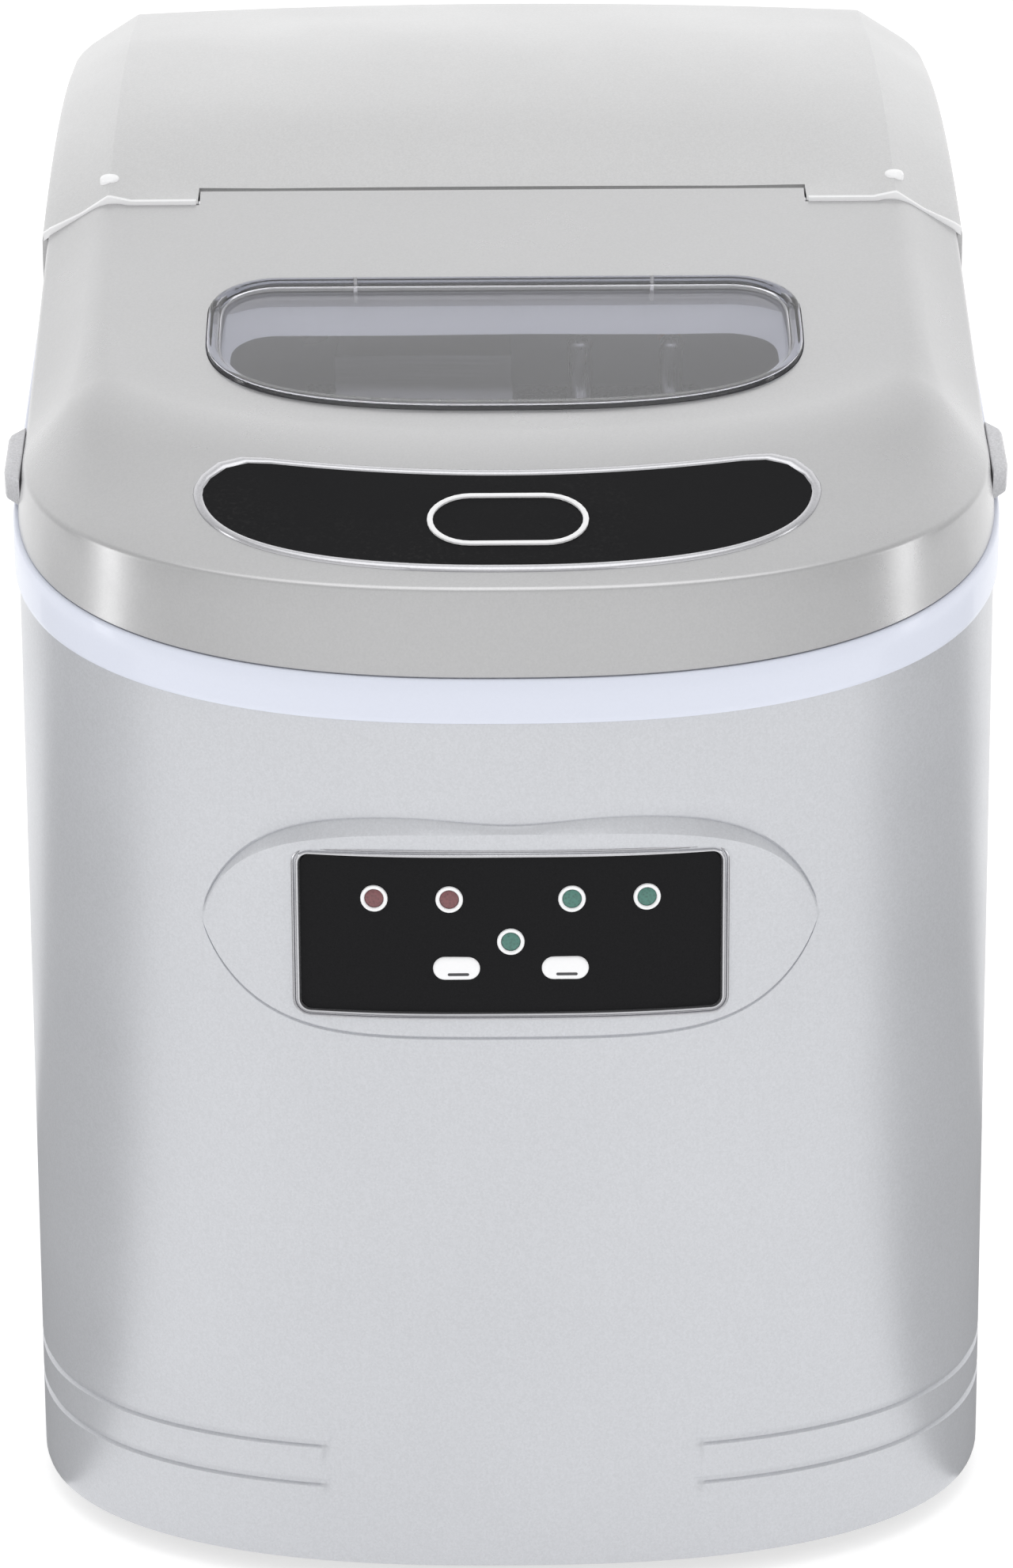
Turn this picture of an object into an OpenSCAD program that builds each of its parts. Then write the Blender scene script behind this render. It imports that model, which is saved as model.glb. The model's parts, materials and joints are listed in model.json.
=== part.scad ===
// Countertop ice maker: bowed plastic casing, hinged lid with a window, sloping rear cover,
// and the cold circuit, water tray, ice rake and basket inside.
// The origin is on the surface it stands on, below the middle of the machine. The front faces -Y.
// Depths are measured back from the front of the casing, and in_place() moves them to the origin.

/* [Casing] */
// Width across the straight sides
body_w = 236; // [225:1:290]
// Depth from the front of the white ring to the back
total_d = 344; // [335:1:415]
// Depth over which the front bows round to the straight sides
bow_depth = 90; // [80:1:100]
// Squareness of the bow, 2 is an ellipse
bow_n = 2.42; // [2.1:0.01:3]
// Corner radius at the back
back_r = 14; // [8:1:24]
// Wall of the casing, covers and lid
wall = 2.5; // [2:0.1:3]
// Height of the feet
foot_h = 5; // [3:0.5:8]

/* [Top] */
// Height of the top at the back
top_h = 327.7; // [320:0.1:394]
// Distance from the front to the line between lid and rear cover
split_y = 184; // [180:1:190]
// Drop of the flat top from the back to that line
top_drop = 26.7; // [22:0.1:30]
// Slope of the lid's flat top
lid_slope = 0.275; // [0.25:0.005:0.3]
// Half width between the two bevel folds
fold_x = 101; // [95:1:106]
// Height of the bevel along the rear cover
bevel_h = 9; // [6:0.5:12]

/* [Ring and lid band] */
// Height of the white ring's lower edge below the top, at the front
ring_drop = 111.7; // [108:0.1:116]
// Slope of the ring's lower edge
ring_slope = 0.234; // [0.2:0.002:0.25]
// Height of the ring at the front
ring_h = 10.6; // [8:0.2:14]
// Distance that the ring stands out from the casing
ring_proud = 1.2; // [0.5:0.1:2]
// Height of the lid's band at the front
band_h = 19.5; // [14:0.5:24]
// Distance of the crest of the lid from the front
crest_y = 57; // [52:1:62]

/* [Window and badge] */
// Width of the window
window_w = 146; // [120:1:160]
// Distance from the front to the window's back edge
window_back = 143; // [138:1:150]
// Length of the window along the lid
window_l = 68; // [60:1:72]
// Half width of the badge plate
badge_x = 71.5; // [60:0.5:80]

/* [Control panel] */
// Height of the middle of the panel
panel_z = 165; // [150:1:175]
// Width of the black panel
panel_w = 97.6; // [90:0.2:104]
// Height of the black panel
panel_h = 38; // [34:0.5:42]
// Height of the raised brow round the panel
brow_h = 53.6; // [48:0.1:60]
// Travel of the two buttons
button_travel = 1.2; // [0.6:0.1:1.5]

/* [Inside] */
// Thickness of the foam round the tank
foam_t = 8.5; // [6:0.5:10]
// Height of the tank floor
tank_z = 45; // [40:1:50]
// Height of the basket floor
basket_z = 112; // [105:1:120]
// Height of the basket
basket_h = 86; // [70:1:90]
// Radius of the water tray, inside
tray_r = 28; // [26:0.5:29]
// Diameter of the compressor
compressor_d = 96; // [80:1:100]
// Diameter of the fan
fan_d = 88; // [70:1:92]

/* [Hidden] */

$fn = 48;
eps = 0.01;
far = 500;
bow_steps = 36;
side_steps = 3;
half_w = body_w / 2;
body_d = total_d - ring_proud;
front_y = ring_proud - total_d / 2;
gap = 0.3;

// Planes and curves of the top
split_top = top_h - top_drop;
ring_z = top_h - ring_drop;
ring_top_slope = ring_slope + 0.02;
crease_z = ring_z + ring_h + band_h;
crease_slope = 0.162;
crease_turn = 97;
crease_front_in = 3.8;
crease_side_in = 1.5;
flat_back_y = body_d - 38;
cover_gap = 0.6;
lid_gap = 0.5;
crest_turn = 95;
lid_angle = atan(lid_slope);

// Hinge: the tongue's round nose turns about the pins
hinge_r = 3.6;
tongue_half = 77.5;
notch_back = split_y + 11.2;
hinge_y = notch_back - 0.4 - hinge_r;
hinge_z = top_z(hinge_y) - hinge_r / cos(lid_angle);
pin_r = 1.5;
pin_run = 0.05;
pin_half = 11;

// Tank and machinery
side_in = wall + foam_t;
front_in = 22;
tank_back = split_y + 22;
tank_wall = 2.5;
tank_half = half_w - side_in - tank_wall;
machine_y = tank_back + 6;
pan_t = 3;
pan_z = foot_h;
pan_top = pan_z + pan_t;

// Tray, rake and chute turn about one line
tray_y = split_y - 19;
tray_z = ring_z + 16;
tray_t = 2;
tray_half = 56;
rake_in = tray_r + 4;
rake_out = rake_in + 4;
chute_in = rake_out + 2;
chute_t = 2;
shaft_r = 5;
shaft_run = 0.06;
bearing_x = tray_half + 14;
bearing_t = 4;

// Panel, measured out from the bow
brow_half = 72.2;
brow_z = panel_z + 1.3;
brow_proud = ring_proud - 0.1;
frame_proud = ring_proud - 0.1;
face_proud = 0.3;
panel_t = 2;
board_z = -13;
board_t = 1.6;
switch_h = 6;
frame_w = panel_w + 3.8;
frame_h = panel_h + 3.5;
led_r = 2.2;
led_ring_r = 3.2;
led_x = [14.2, 31.6];
led_row = 8.7;
power_led_row = -1.6;
button_x = 12.6;
button_row = -8.1;
button_w = 11;
button_h = 5.6;
groove_z = [25, 35];
groove_start = 43.5;

basket_half = tank_half - 12;
basket_front = front_in + 9;
basket_back = tray_y - chute_in - 9;
basket_wall = 2;
sensor_y = bow_depth + 12;

fan_x = 46 - half_w;
fan_y = machine_y + 58;
fan_z = 100;
comp_x = half_w - 71;
comp_y = machine_y + 64;
comp_z = 24;
comp_r = compressor_d / 2;
drain_y = 120;
drain_z = tank_z + 10;
gland_x = 48 - half_w;
drier_x = -20;
drier_y = machine_y + 14;
finger_rows = [[-7, [-40, -20, 0, 20, 40]], [7, [-30, -10, 10, 30]]];
gland_z = 40;

function top_z(y) = split_top + lid_slope * (y - split_y);
function ring_low(y) = ring_z + ring_slope * y;
function ring_high(y) = ring_z + ring_h + ring_top_slope * y;
function edge_split() = split_top - bevel_h + 1;
function crease_at_turn() = crease_z + crease_slope * crease_turn;
function crease_rise() = (edge_split() - crease_at_turn()) / (split_y - crease_turn);
function crease(y) = y < crease_turn
    ? crease_z + crease_slope * y
    : crease_at_turn() + crease_rise() * (y - crease_turn);
// The rear cover climbs on a parabola that ends level
function climb(y) = pow(max(0, 1 - (y - split_y) / (flat_back_y - split_y)), 2);
function cover_top(y) = top_h - top_drop * climb(y);
function cover_edge(y) = cover_top(y) - bevel_h + 1 * climb(y) - 0.9 * (1 - climb(y));

// How far the bow lies back at a distance from the middle, and its slope there
function bow_back(x) = bow_depth * (1 - pow(1 - pow(abs(x) / half_w, bow_n), 1 / bow_n));
function bow_turn(x) = atan2(bow_back(x + 1) - bow_back(x - 1), 2);

// Points round the bow, from the left side over the front to the right side
function bow_point(a, half, start, end, n) = [
    half * sign(cos(a)) * pow(abs(cos(a)), 2 / n),
    end - (end - start) * pow(abs(sin(a)), 2 / n)];
function bow(half, start, end, n) = [for (i = [0:bow_steps])
    bow_point(180 + 180 * i / bow_steps, half, start, end, n)];
function left_side(half, back, end) = [for (k = [0:side_steps - 1])
    [-half, back + (end - back) * k / side_steps]];
function right_side(half, back, end) = [for (k = [side_steps - 1:-1:0])
    [half, back + (end - back) * k / side_steps]];
function outline(half, start, end, back, n) = concat(
    left_side(half, back, end), bow(half, start, end, n), right_side(half, back, end));
function back_corners(half, back, r) = concat(
    [for (a = [0:15:90]) [half - r + r * cos(a), back - r + r * sin(a)]],
    [for (a = [90:15:180]) [-half + r + r * cos(a), back - r + r * sin(a)]]);

module in_place() translate([0, front_y, 0]) children();

// An outline drawn in depth and height, stretched across the machine
module across(width, x = 0) {
    translate([x, 0, 0]) rotate([90, 0, 90]) translate([0, 0, -width / 2]) linear_extrude(width) children();
}

module casing_plan(inset) {
    polygon(concat(bow(half_w - inset, inset, bow_depth, bow_n),
                   back_corners(half_w - inset, body_d - inset, max(1, back_r - inset))));
}

module tank_plan(inset) {
    back = tank_back - inset;
    polygon(concat(bow(half_w - side_in - inset, front_in + inset, bow_depth, bow_n),
                   back_corners(half_w - side_in - inset, back, 8 - inset)));
}

// All that lies between two planes that slope up towards the back
module between(low, low_slope, high, high_slope) {
    across(3 * body_w) polygon([
        [-far, low - far * low_slope], [far, low + far * low_slope],
        [far, high + far * high_slope], [-far, high - far * high_slope]]);
}

module below(high, slope) {
    across(3 * body_w) polygon([[-far, -far], [far, -far], [far, high + far * slope], [-far, high - far * slope]]);
}

module band_wall(outer, inner, low, high) {
    translate([0, 0, low]) linear_extrude(high - low) difference() {
        casing_plan(outer);
        casing_plan(inner);
    }
}

// Closed solid between rings of points, each ring running round the front from back to back
module ringed_solid(rings) {
    n = len(rings[0]);
    m = len(rings);
    polyhedron(
        points = [for (ring = rings) each ring],
        faces = concat(
            [[for (i = [0:n - 1]) i]],
            [[for (i = [n - 1:-1:0]) (m - 1) * n + i]],
            [for (r = [0:m - 2], i = [0:n - 2]) [r * n + i, (r + 1) * n + i, (r + 1) * n + i + 1]],
            [for (r = [0:m - 2], i = [0:n - 2]) [r * n + i, (r + 1) * n + i + 1, r * n + i + 1]],
            [concat([for (r = [0:m - 1]) r * n + n - 1], [for (r = [m - 1:-1:0]) r * n])]));
}

// The lid's outer form drawn in by a distance, with its foot moved down by another
module lid_form(inset, drop = 0) {
    back = split_y - inset;
    ringed_solid([
        [for (p = outline(half_w - inset, inset, bow_depth, back, bow_n))
            [p.x, p.y, ring_high(p.y) + lid_gap - drop]],
        [for (p = outline(half_w - crease_side_in - inset, crease_front_in + inset, bow_depth, back, bow_n))
            [p.x, p.y, crease(p.y) - inset * 0.7]],
        [for (p = outline(fold_x - inset * 0.4, crest_y + inset * 0.4, crest_turn, back, 2))
            [p.x, p.y, top_z(p.y) - inset]]]);
}

// The rear cover's outer form drawn in by a distance, from the split to the back
module cover_form(inset) {
    front = split_y + cover_gap + inset;
    back = body_d - inset;
    steps = 12;
    low = ring_low(split_y) - 10 - inset;
    function section(y) = [
        [-half_w + inset, y, low], [half_w - inset, y, low],
        [half_w - inset, y, cover_edge(y) - inset * 0.7],
        [fold_x - inset * 0.4, y, cover_top(y) - inset],
        [-fold_x + inset * 0.4, y, cover_top(y) - inset],
        [-half_w + inset, y, cover_edge(y) - inset * 0.7]];
    rings = [for (k = [0:steps]) section(front + (back - front) * k / steps)];
    polyhedron(
        points = [for (ring = rings) each ring],
        faces = concat(
            [[5, 4, 3, 2, 1, 0]],
            [[for (i = [0:5]) steps * 6 + i]],
            [for (r = [0:steps - 1], i = [0:5]) [(r + 1) * 6 + (i + 1) % 6, (r + 1) * 6 + i, r * 6 + i]],
            [for (r = [0:steps - 1], i = [0:5]) [r * 6 + (i + 1) % 6, (r + 1) * 6 + (i + 1) % 6, r * 6 + i]]));
}

module rounded_plate(w, h, r, t) {
    linear_extrude(t) translate([-w / 2, -h / 2]) polygon(concat(
        [for (a = [0:15:90]) [w - r + r * cos(a), h - r + r * sin(a)]],
        [for (a = [90:15:180]) [r + r * cos(a), h - r + r * sin(a)]],
        [for (a = [180:15:270]) [r + r * cos(a), r + r * sin(a)]],
        [for (a = [270:15:360]) [w - r + r * cos(a), r + r * sin(a)]]));
}

module stadium(w, h, t) {
    translate([-(w - h) / 2, -h / 2, 0]) cube([w - h, h, t]);
    for (s = [-1, 1]) translate([s * (w - h) / 2, 0, 0]) cylinder(h = t, r = h / 2);
}

module box(low, high) {
    translate(low) cube(high - low);
}

// A bar or tube from one point to another
module rod(from, to, r) {
    v = to - from;
    translate(from) rotate([0, acos(v.z / norm(v)), atan2(v.y, v.x)]) cylinder(h = norm(v), r = r);
}

module tube_path(points, r) {
    for (i = [0:len(points) - 2]) rod(points[i], points[i + 1], r);
    for (i = [1:1:len(points) - 2]) translate(points[i]) sphere(r = 1.1 * r);
}

// ---- Casing ----

module facing_front(z) translate([0, 0, z]) rotate([90, 0, 0]) children();

module on_panel() facing_front(panel_z) children();

// All that lies behind the bow moved out by a distance
module behind_bow(out) {
    intersection() {
        linear_extrude(top_h) casing_plan(-out);
        children();
    }
}

// Eye-shaped outline, blunt above and below and drawn out at the two ends
module brow_outline() {
    polygon([for (a = [0:7.5:352.5]) [
        brow_half * sign(cos(a)) * pow(abs(cos(a)), 0.4),
        brow_h / 2 * sign(sin(a)) * pow(abs(sin(a)), 1.43)]]);
}

// Stands out at its upper edge, and runs flush with the casing at its lower edge
module brow() {
    intersection() {
        facing_front(brow_z) translate([0, 0, -bow_depth / 2]) linear_extrude(bow_depth) brow_outline();
        translate([0, 0, brow_z - brow_h / 2]) rotate([atan(brow_proud / brow_h), 0, 0])
            translate([0, 0, -1]) linear_extrude(brow_h + 4) difference() {
                casing_plan(0);
                casing_plan(wall);
            }
    }
}

module side_vents(side) {
    for (k = [0:9])
        translate([side * half_w - 6, machine_y + 12, 62 + k * 10]) cube([12, 88, 4]);
}

module grooves() {
    for (z = groove_z) difference() {
        band_wall(-1, 0.8, z, z + 1.6);
        box([-groove_start, -5, z - 1], [groove_start, 40, z + 3]);
        box([-half_w - 5, bow_depth + 20, z - 1], [half_w + 5, body_d + 5, z + 3]);
    }
}

module outer_shell() in_place() color("silver") difference() {
    union() {
        difference() {
            band_wall(0, wall, pan_z, top_h);
            grooves();
        }
        brow();
    }
    difference() {
        translate([-far, -far, 0]) cube(3 * far);
        below(ring_z, ring_slope);
    }
    on_panel() translate([0, 0, -30]) rounded_plate(frame_w + 2 * gap, frame_h + 2 * gap, 4.5, 40);
    for (s = [-1, 1]) side_vents(s);
    box([-half_w + 16, body_d - 10, pan_z + 12], [half_w - 16, body_d + 5, far]);
    translate([half_w, drain_y, drain_z]) rotate([0, 90, 0]) cylinder(h = 30, r = 13, center = true);
}

module base_pan() in_place() color("dimgray") difference() {
    translate([0, 0, pan_z]) linear_extrude(pan_t) casing_plan(wall + 0.2);
    foot_places() cylinder(h = 30, r = 2.2, center = true);
    for (k = [0:8]) box([-40, machine_y + 20 + k * 10, 0], [-10, machine_y + 24 + k * 10, 20]);
}

module foot_places() {
    for (s = [-1, 1]) {
        translate([s * (half_w - 30), 48, 0]) children();
        translate([s * (half_w - 30), body_d - 40, 0]) children();
    }
}

module feet() in_place() color([0.15, 0.15, 0.15]) foot_places() difference() {
    cylinder(h = foot_h, r1 = 10, r2 = 11);
    translate([0, 0, -1]) cylinder(h = 3, r = 5);
    cylinder(h = 30, r = 2.2, center = true);
}

module foot_screws() in_place() color("gray") foot_places() {
    translate([0, 0, 0.6]) cylinder(h = 1.4 - eps, r = 4);
    translate([0, 0, 0.6]) cylinder(h = pan_top + 5, r = 1.9);
}

module panel_screw_places() {
    for (s = [-1, 1]) for (z = [30, 130, 230])
        translate([s * (half_w - 20), body_d, z]) rotate([90, 0, 0]) children();
}

// Flat panel screwed into the opening at the back, with the posts that carry the electronics
module rear_panel() in_place() color("darkgray") difference() {
    union() {
        intersection() {
            box([-half_w + 16 + gap, body_d - wall, pan_top + 9 + gap],
                [half_w - 16 - gap, body_d, top_h]);
            below(ring_z - gap, ring_slope);
        }
        for (x = [-45, 45]) for (z = [185, 245]) translate([x, body_d - wall + eps, z])
            rotate([90, 0, 0]) cylinder(h = 8 + eps, r = 4);
    }
    panel_screw_places() cylinder(h = 30, r = 2, center = true);
    panel_screw_places() translate([0, 0, -eps]) cylinder(h = 1.2, r = 4);
    for (k = [0:11]) box([20, body_d - 8, 45 + k * 9], [half_w - 36, body_d + 5, 49 + k * 9]);
    translate([gland_x, body_d, gland_z]) rotate([90, 0, 0]) cylinder(h = 30, r = 7, center = true);
}

module rear_panel_screws() in_place() color("gray") panel_screw_places() {
    cylinder(h = 1.2 - 2 * eps, r = 3.6);
    cylinder(h = wall + 4, r = 1.9);
}

module cord_gland() in_place() color([0.1, 0.1, 0.1])
    translate([gland_x, body_d, gland_z]) rotate([90, 0, 0]) difference() {
        union() {
            translate([0, 0, 0.2]) cylinder(h = wall + 3, r = 6.9);
            translate([0, 0, wall + gap]) cylinder(h = 2.5, r = 9);
        }
        cylinder(h = 30, r = 3.5, center = true);
    }

// ---- Rear cover and hinge ----

module hinge_line(x) translate([x, hinge_y, hinge_z]) rotate([0, 90, 0]) children();

module rear_cover() in_place() color("gainsboro") difference() {
    union() {
        difference() {
            intersection() {
                cover_form(0);
                linear_extrude(top_h + 5) casing_plan(0);
            }
            intersection() {
                cover_form(wall);
                linear_extrude(top_h + 5) casing_plan(wall);
            }
            below(ring_z + gap, ring_slope);
            box([-tongue_half - 1 + 0.6, split_y - 5, hinge_z - 7], [tongue_half + 0.4, notch_back, far]);
            box([-tank_half - 3, split_y - 5, 0], [tank_half + 3, split_y + 10, hinge_z - 10]);
        }
        box([-tongue_half - 2, notch_back, hinge_z - 9], [tongue_half + 2, notch_back + wall, hinge_z + 3]);
        box([-tongue_half - 2, split_y + cover_gap, hinge_z - 9],
            [tongue_half + 2, notch_back + eps, hinge_z - 7]);
        for (s = [-1, 1]) hinge_line(s * (tongue_half + 5)) cylinder(h = 9, r = 4, center = true);
    }
    for (s = [-1, 1]) hinge_line(s * (tongue_half + 2)) cylinder(h = 18, r = pin_r, center = true);
    for (s = [-1, 1]) translate([s * fold_x, split_y + 11, cover_top(split_y + 11)])
        cylinder(h = 3, r = 2.2, center = true);
}

module cover_screw_caps() in_place() color("whitesmoke")
    for (s = [-1, 1]) translate([s * fold_x, split_y + 11, cover_top(split_y + 11) - 1.5 + eps])
        cylinder(h = 1.1, r = 2);

module hinge_pins() in_place() color("lightgray")
    for (s = [-1, 1]) hinge_line(s * tongue_half) cylinder(h = 2 * pin_half, r = pin_r, center = true);

// ---- Tank ----

module tank_liner() in_place() color("white") difference() {
    union() {
        intersection() {
            band_wall(-ring_proud, wall, 100, top_h);
            between(ring_z, ring_slope, ring_z + ring_h, ring_top_slope);
            box([-far, -far, 0], [far, split_y, far]);
        }
        intersection() {
            translate([0, 0, 100]) linear_extrude(top_h) difference() {
                casing_plan(wall / 2);
                tank_plan(tank_wall);
            }
            between(ring_z + ring_h - 2.5, ring_top_slope, ring_z + ring_h, ring_top_slope);
            box([-far, -far, 0], [far, split_y, far]);
        }
        intersection() {
            translate([0, 0, tank_z - tank_wall]) linear_extrude(top_h) difference() {
                tank_plan(0);
                tank_plan(tank_wall);
            }
            below(ring_z + ring_h, ring_top_slope);
        }
        translate([0, 0, tank_z - tank_wall]) linear_extrude(tank_wall) tank_plan(0);
        for (s = [-1, 1]) box([min(s * (basket_half - 6), s * (tank_half + 1)), bow_depth - 8, basket_z - 5],
                              [max(s * (basket_half - 6), s * (tank_half + 1)), bow_depth + 15, basket_z - gap]);
    }
    box([8, tank_back - 6, tray_z + 26], [52, tank_back + 5, tray_z + 43]);
    for (s = [-1, 1]) translate([s * (half_w - side_in), sensor_y, basket_z + basket_h + 12])
        rotate([0, 90, 0]) cylinder(h = 12, r = 4, center = true);
    translate([half_w - side_in, drain_y, drain_z]) rotate([0, 90, 0]) cylinder(h = 12, r = 6, center = true);
    translate([tray_motor_x(), tray_y, tray_z]) rotate([0, 90, 0]) cylinder(h = 6, r = 8, center = true);
    translate([-42, tank_back, tank_z + 12]) rotate([90, 0, 0]) cylinder(h = 12, r = 4.2, center = true);
    translate([-20, tank_back, tank_z + 30]) rotate([90, 0, 0]) cylinder(h = 12, r = 5, center = true);
}

module foam_jacket() in_place() color("ivory") difference() {
    intersection() {
        translate([0, 0, tank_z]) linear_extrude(top_h) difference() {
            casing_plan(wall + gap);
            tank_plan(-gap);
            translate([-far, bow_depth + 60]) square(2 * far);
        }
        below(ring_z - 1, ring_slope);
    }
    box([-78, 0, panel_z - 34], [78, 40, panel_z + 34]);
    translate([half_w - side_in, drain_y, drain_z]) rotate([0, 90, 0]) cylinder(h = 40, r = 15, center = true);
    for (s = [-1, 1]) translate([s * (half_w - side_in), sensor_y, basket_z + basket_h + 12])
        rotate([0, 90, 0]) cylinder(h = 30, r = 9, center = true);
}

module drain_spout() in_place() color("white")
    translate([half_w - side_in + gap, drain_y, drain_z]) rotate([0, 90, 0]) difference() {
        union() {
            cylinder(h = side_in - gap - 1, r = 8);
            cylinder(h = 2, r = 12);
            translate([0, 0, -tank_wall - gap]) cylinder(h = 4, r = 5.9);
        }
        cylinder(h = 60, r = 5, center = true);
    }

// Bayonet cap: its stem turns in the spout
module drain_cap() in_place() color("darkgray")
    translate([half_w - 1.5, drain_y, drain_z]) rotate([0, 90, 0]) {
        translate([0, 0, 0.8]) cylinder(h = 1.8, r = 12);
        translate([0, 0, -8]) cylinder(h = 9, r = 5 - shaft_run);
        translate([-8, -1.5, 2]) cube([16, 3, 2.5]);
    }

// ---- Lid ----

module on_lid_top() translate([0, split_y, split_top]) rotate([lid_angle, 0, 0]) children();

// The window's outline on the lid's slope: a square back with round corners and a bowed front
module window_plan(grow) {
    back = -(split_y - window_back) / cos(lid_angle) + grow;
    half = window_w / 2 + grow;
    front = back - window_l - 2 * grow;
    turn = back - 30;
    polygon(concat([for (i = [0:24]) bow_point(180 + 7.5 * i, half, front, turn, 2.7)],
                   back_corners(half, back, 17 + grow)));
}

module window_block(grow, low, high) {
    on_lid_top() translate([0, 0, low]) linear_extrude(high - low) window_plan(grow);
}

// The badge's outline seen from above: its back edge follows the crest, its front edge the crease
function badge_back(x) = 46.1 + 8.5 * pow(x / 63, 2);
function badge_outline(grow) = [for (i = [0:28])
    let (a = 180 + 180 * i / 28, p = bow_point(a, badge_x + grow, 12.8 - grow, 47 + grow / 2, 2.3)) p];

module badge_plan(grow) {
    end = badge_x + grow;
    polygon(concat(badge_outline(grow),
        [for (i = [0:10]) let (x = (end - 5) * (1 - i / 5)) [x, badge_back(x) + grow]]));
}

module badge_slice(grow, above, depth) {
    intersection() {
        linear_extrude(top_h) badge_plan(grow);
        difference() {
            lid_form(-above);
            lid_form(depth, 5);
        }
    }
}

module tongue() {
    across(2 * tongue_half) polygon([
        [split_y - 8, top_z(split_y - 8) - 2 * hinge_r / cos(lid_angle)],
        [hinge_y + hinge_r * sin(lid_angle), hinge_z - hinge_r * cos(lid_angle)],
        [hinge_y - hinge_r * sin(lid_angle), hinge_z + hinge_r * cos(lid_angle)],
        [split_y - 8, top_z(split_y - 8)]]);
    hinge_line(0) cylinder(h = 2 * tongue_half, r = hinge_r, center = true);
}

module lid_shell() in_place() color("silver") difference() {
    union() {
        difference() {
            lid_form(0);
            lid_form(wall, 5);
        }
        tongue();
    }
    window_block(gap, -10, 10);
    intersection() {
        linear_extrude(top_h) badge_plan(2.6);
        difference() {
            lid_form(-2);
            lid_form(1.5, 5);
        }
    }
    for (s = [-1, 1]) hinge_line(s * (tongue_half - 4)) cylinder(h = 20, r = pin_r + pin_run, center = true);
    lid_screw_places() cylinder(h = 12, r = 1.2, center = true);
}

module lid_screw_places() {
    on_lid_top() for (x = [-90, 90]) for (y = [-20, -84]) translate([x, y, -wall]) children();
}

module lid_inner() in_place() color("white") difference() {
    union() {
        intersection() {
            lid_form(wall + gap, 5);
            on_lid_top() translate([-far, -far, -15]) cube([2 * far, far + 2, 2]);
        }
        difference() {
            window_block(4, -15 + eps, -5);
            window_block(2, -20, 0);
        }
        lid_screw_places() translate([0, 0, -12]) cylinder(h = 12 - gap, r = 4);
    }
    window_block(2, -20, 0);
    lid_screw_places() cylinder(h = 50, r = 1.6, center = true);
}

module lid_screws() in_place() color("gray") lid_screw_places() {
    translate([0, 0, -14.5]) cylinder(h = 1.8 - eps, r = 3);
    translate([0, 0, -14.5]) cylinder(h = 15.5, r = 1.15);
}

module lid_window() in_place() color([0.75, 0.73, 0.85, 0.4]) {
    window_block(0, -wall - gap - eps, 1.2);
    window_block(2.5, -wall - gap - 1.6, -wall - gap);
}

module badge_bezel() in_place() color("silver") difference() {
    badge_slice(2.3, 0.6, 1.2);
    translate([0, 0, 100]) linear_extrude(top_h) badge_plan(0);
}

module badge_plate() in_place() color([0.08, 0.08, 0.09]) badge_slice(-0.2, 0.3, 1.2);

module capsule(w, h) {
    square([w - h, h], center = true);
    for (s = [-1, 1]) translate([s * (w - h) / 2, 0]) circle(r = h / 2);
}

// The lid's forehead, between the crease and the crest on the middle line
module on_forehead(y) {
    rise = top_z(crest_y) - crease(crease_front_in);
    run = crest_y - crease_front_in;
    translate([0, y, crease(crease_front_in) + (y - crease_front_in) * rise / run])
        rotate([atan2(rise, run), 0, 0]) children();
}

module badge_emblem() in_place() color("whitesmoke")
    on_forehead(29.4) translate([0, 0, 0.4]) linear_extrude(0.7) difference() {
        capsule(37.6, 20.4);
        capsule(35, 17.8);
    }

module lid_grips() in_place() color("darkgray") for (s = [0, 1]) mirror([s, 0, 0])
    translate([half_w + 0.1, 0, ring_high(92) + 3]) rotate([atan(ring_top_slope), 0, 0])
        translate([0, 80, -0.25 * 80]) linear_extrude(7)
            polygon([[0, 0], [3.3, 3], [3.3, 21], [0, 24]]);

// ---- Control panel ----

module panel_bezel() in_place() color("silver") behind_bow(frame_proud) difference() {
    on_panel() translate([0, 0, board_z + gap]) rounded_plate(frame_w, frame_h, 4.2, 20 - board_z);
    difference() {
        on_panel() translate([0, 0, -30]) rounded_plate(panel_w + 0.2, panel_h + 0.2, 3, 50);
        linear_extrude(top_h) casing_plan(panel_t - face_proud + eps);
    }
    on_panel() translate([0, 0, -30]) rounded_plate(panel_w - 4, panel_h - 4, 2, 50);
}

module led_place(x, row) translate([x, row, -bow_back(x)]) rotate([0, bow_turn(x), 0]) children();

module red_places() for (x = led_x) led_place(-x, led_row) children();

module green_places() {
    for (x = led_x) led_place(x, led_row) children();
    led_place(0, power_led_row) children();
}

module button_place(s) translate([s * button_x, button_row, -bow_back(button_x)]) children();

module panel_face() in_place() color([0.1, 0.1, 0.11]) difference() {
    intersection() {
        band_wall(-face_proud, panel_t - face_proud, panel_z - panel_h, panel_z + panel_h);
        on_panel() translate([0, 0, -30]) rounded_plate(panel_w, panel_h, 3, 50);
    }
    on_panel() {
        for (s = [-1, 1]) button_place(s) translate([0, 0, -5]) stadium(button_w + 0.6, button_h + 0.6, 10);
        red_places() cylinder(h = 10, r = led_ring_r + 0.05, center = true);
        green_places() cylinder(h = 10, r = led_ring_r + 0.05, center = true);
    }
}

module led_ring() translate([0, 0, face_proud - panel_t]) difference() {
    cylinder(h = panel_t + 0.3, r = led_ring_r);
    translate([0, 0, -1]) cylinder(h = panel_t + 3, r = led_r + 0.05);
}

module led_rings() in_place() color("whitesmoke") on_panel() {
    red_places() led_ring();
    green_places() led_ring();
}

// Light pipe from the board to the face, a little shorter where the bow lies back
module lens_pipe(x) {
    h = -board_z - bow_back(x) - 0.4;
    translate([0, 0, -h]) cylinder(h = h + face_proud + 0.1, r = led_r);
}

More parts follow.
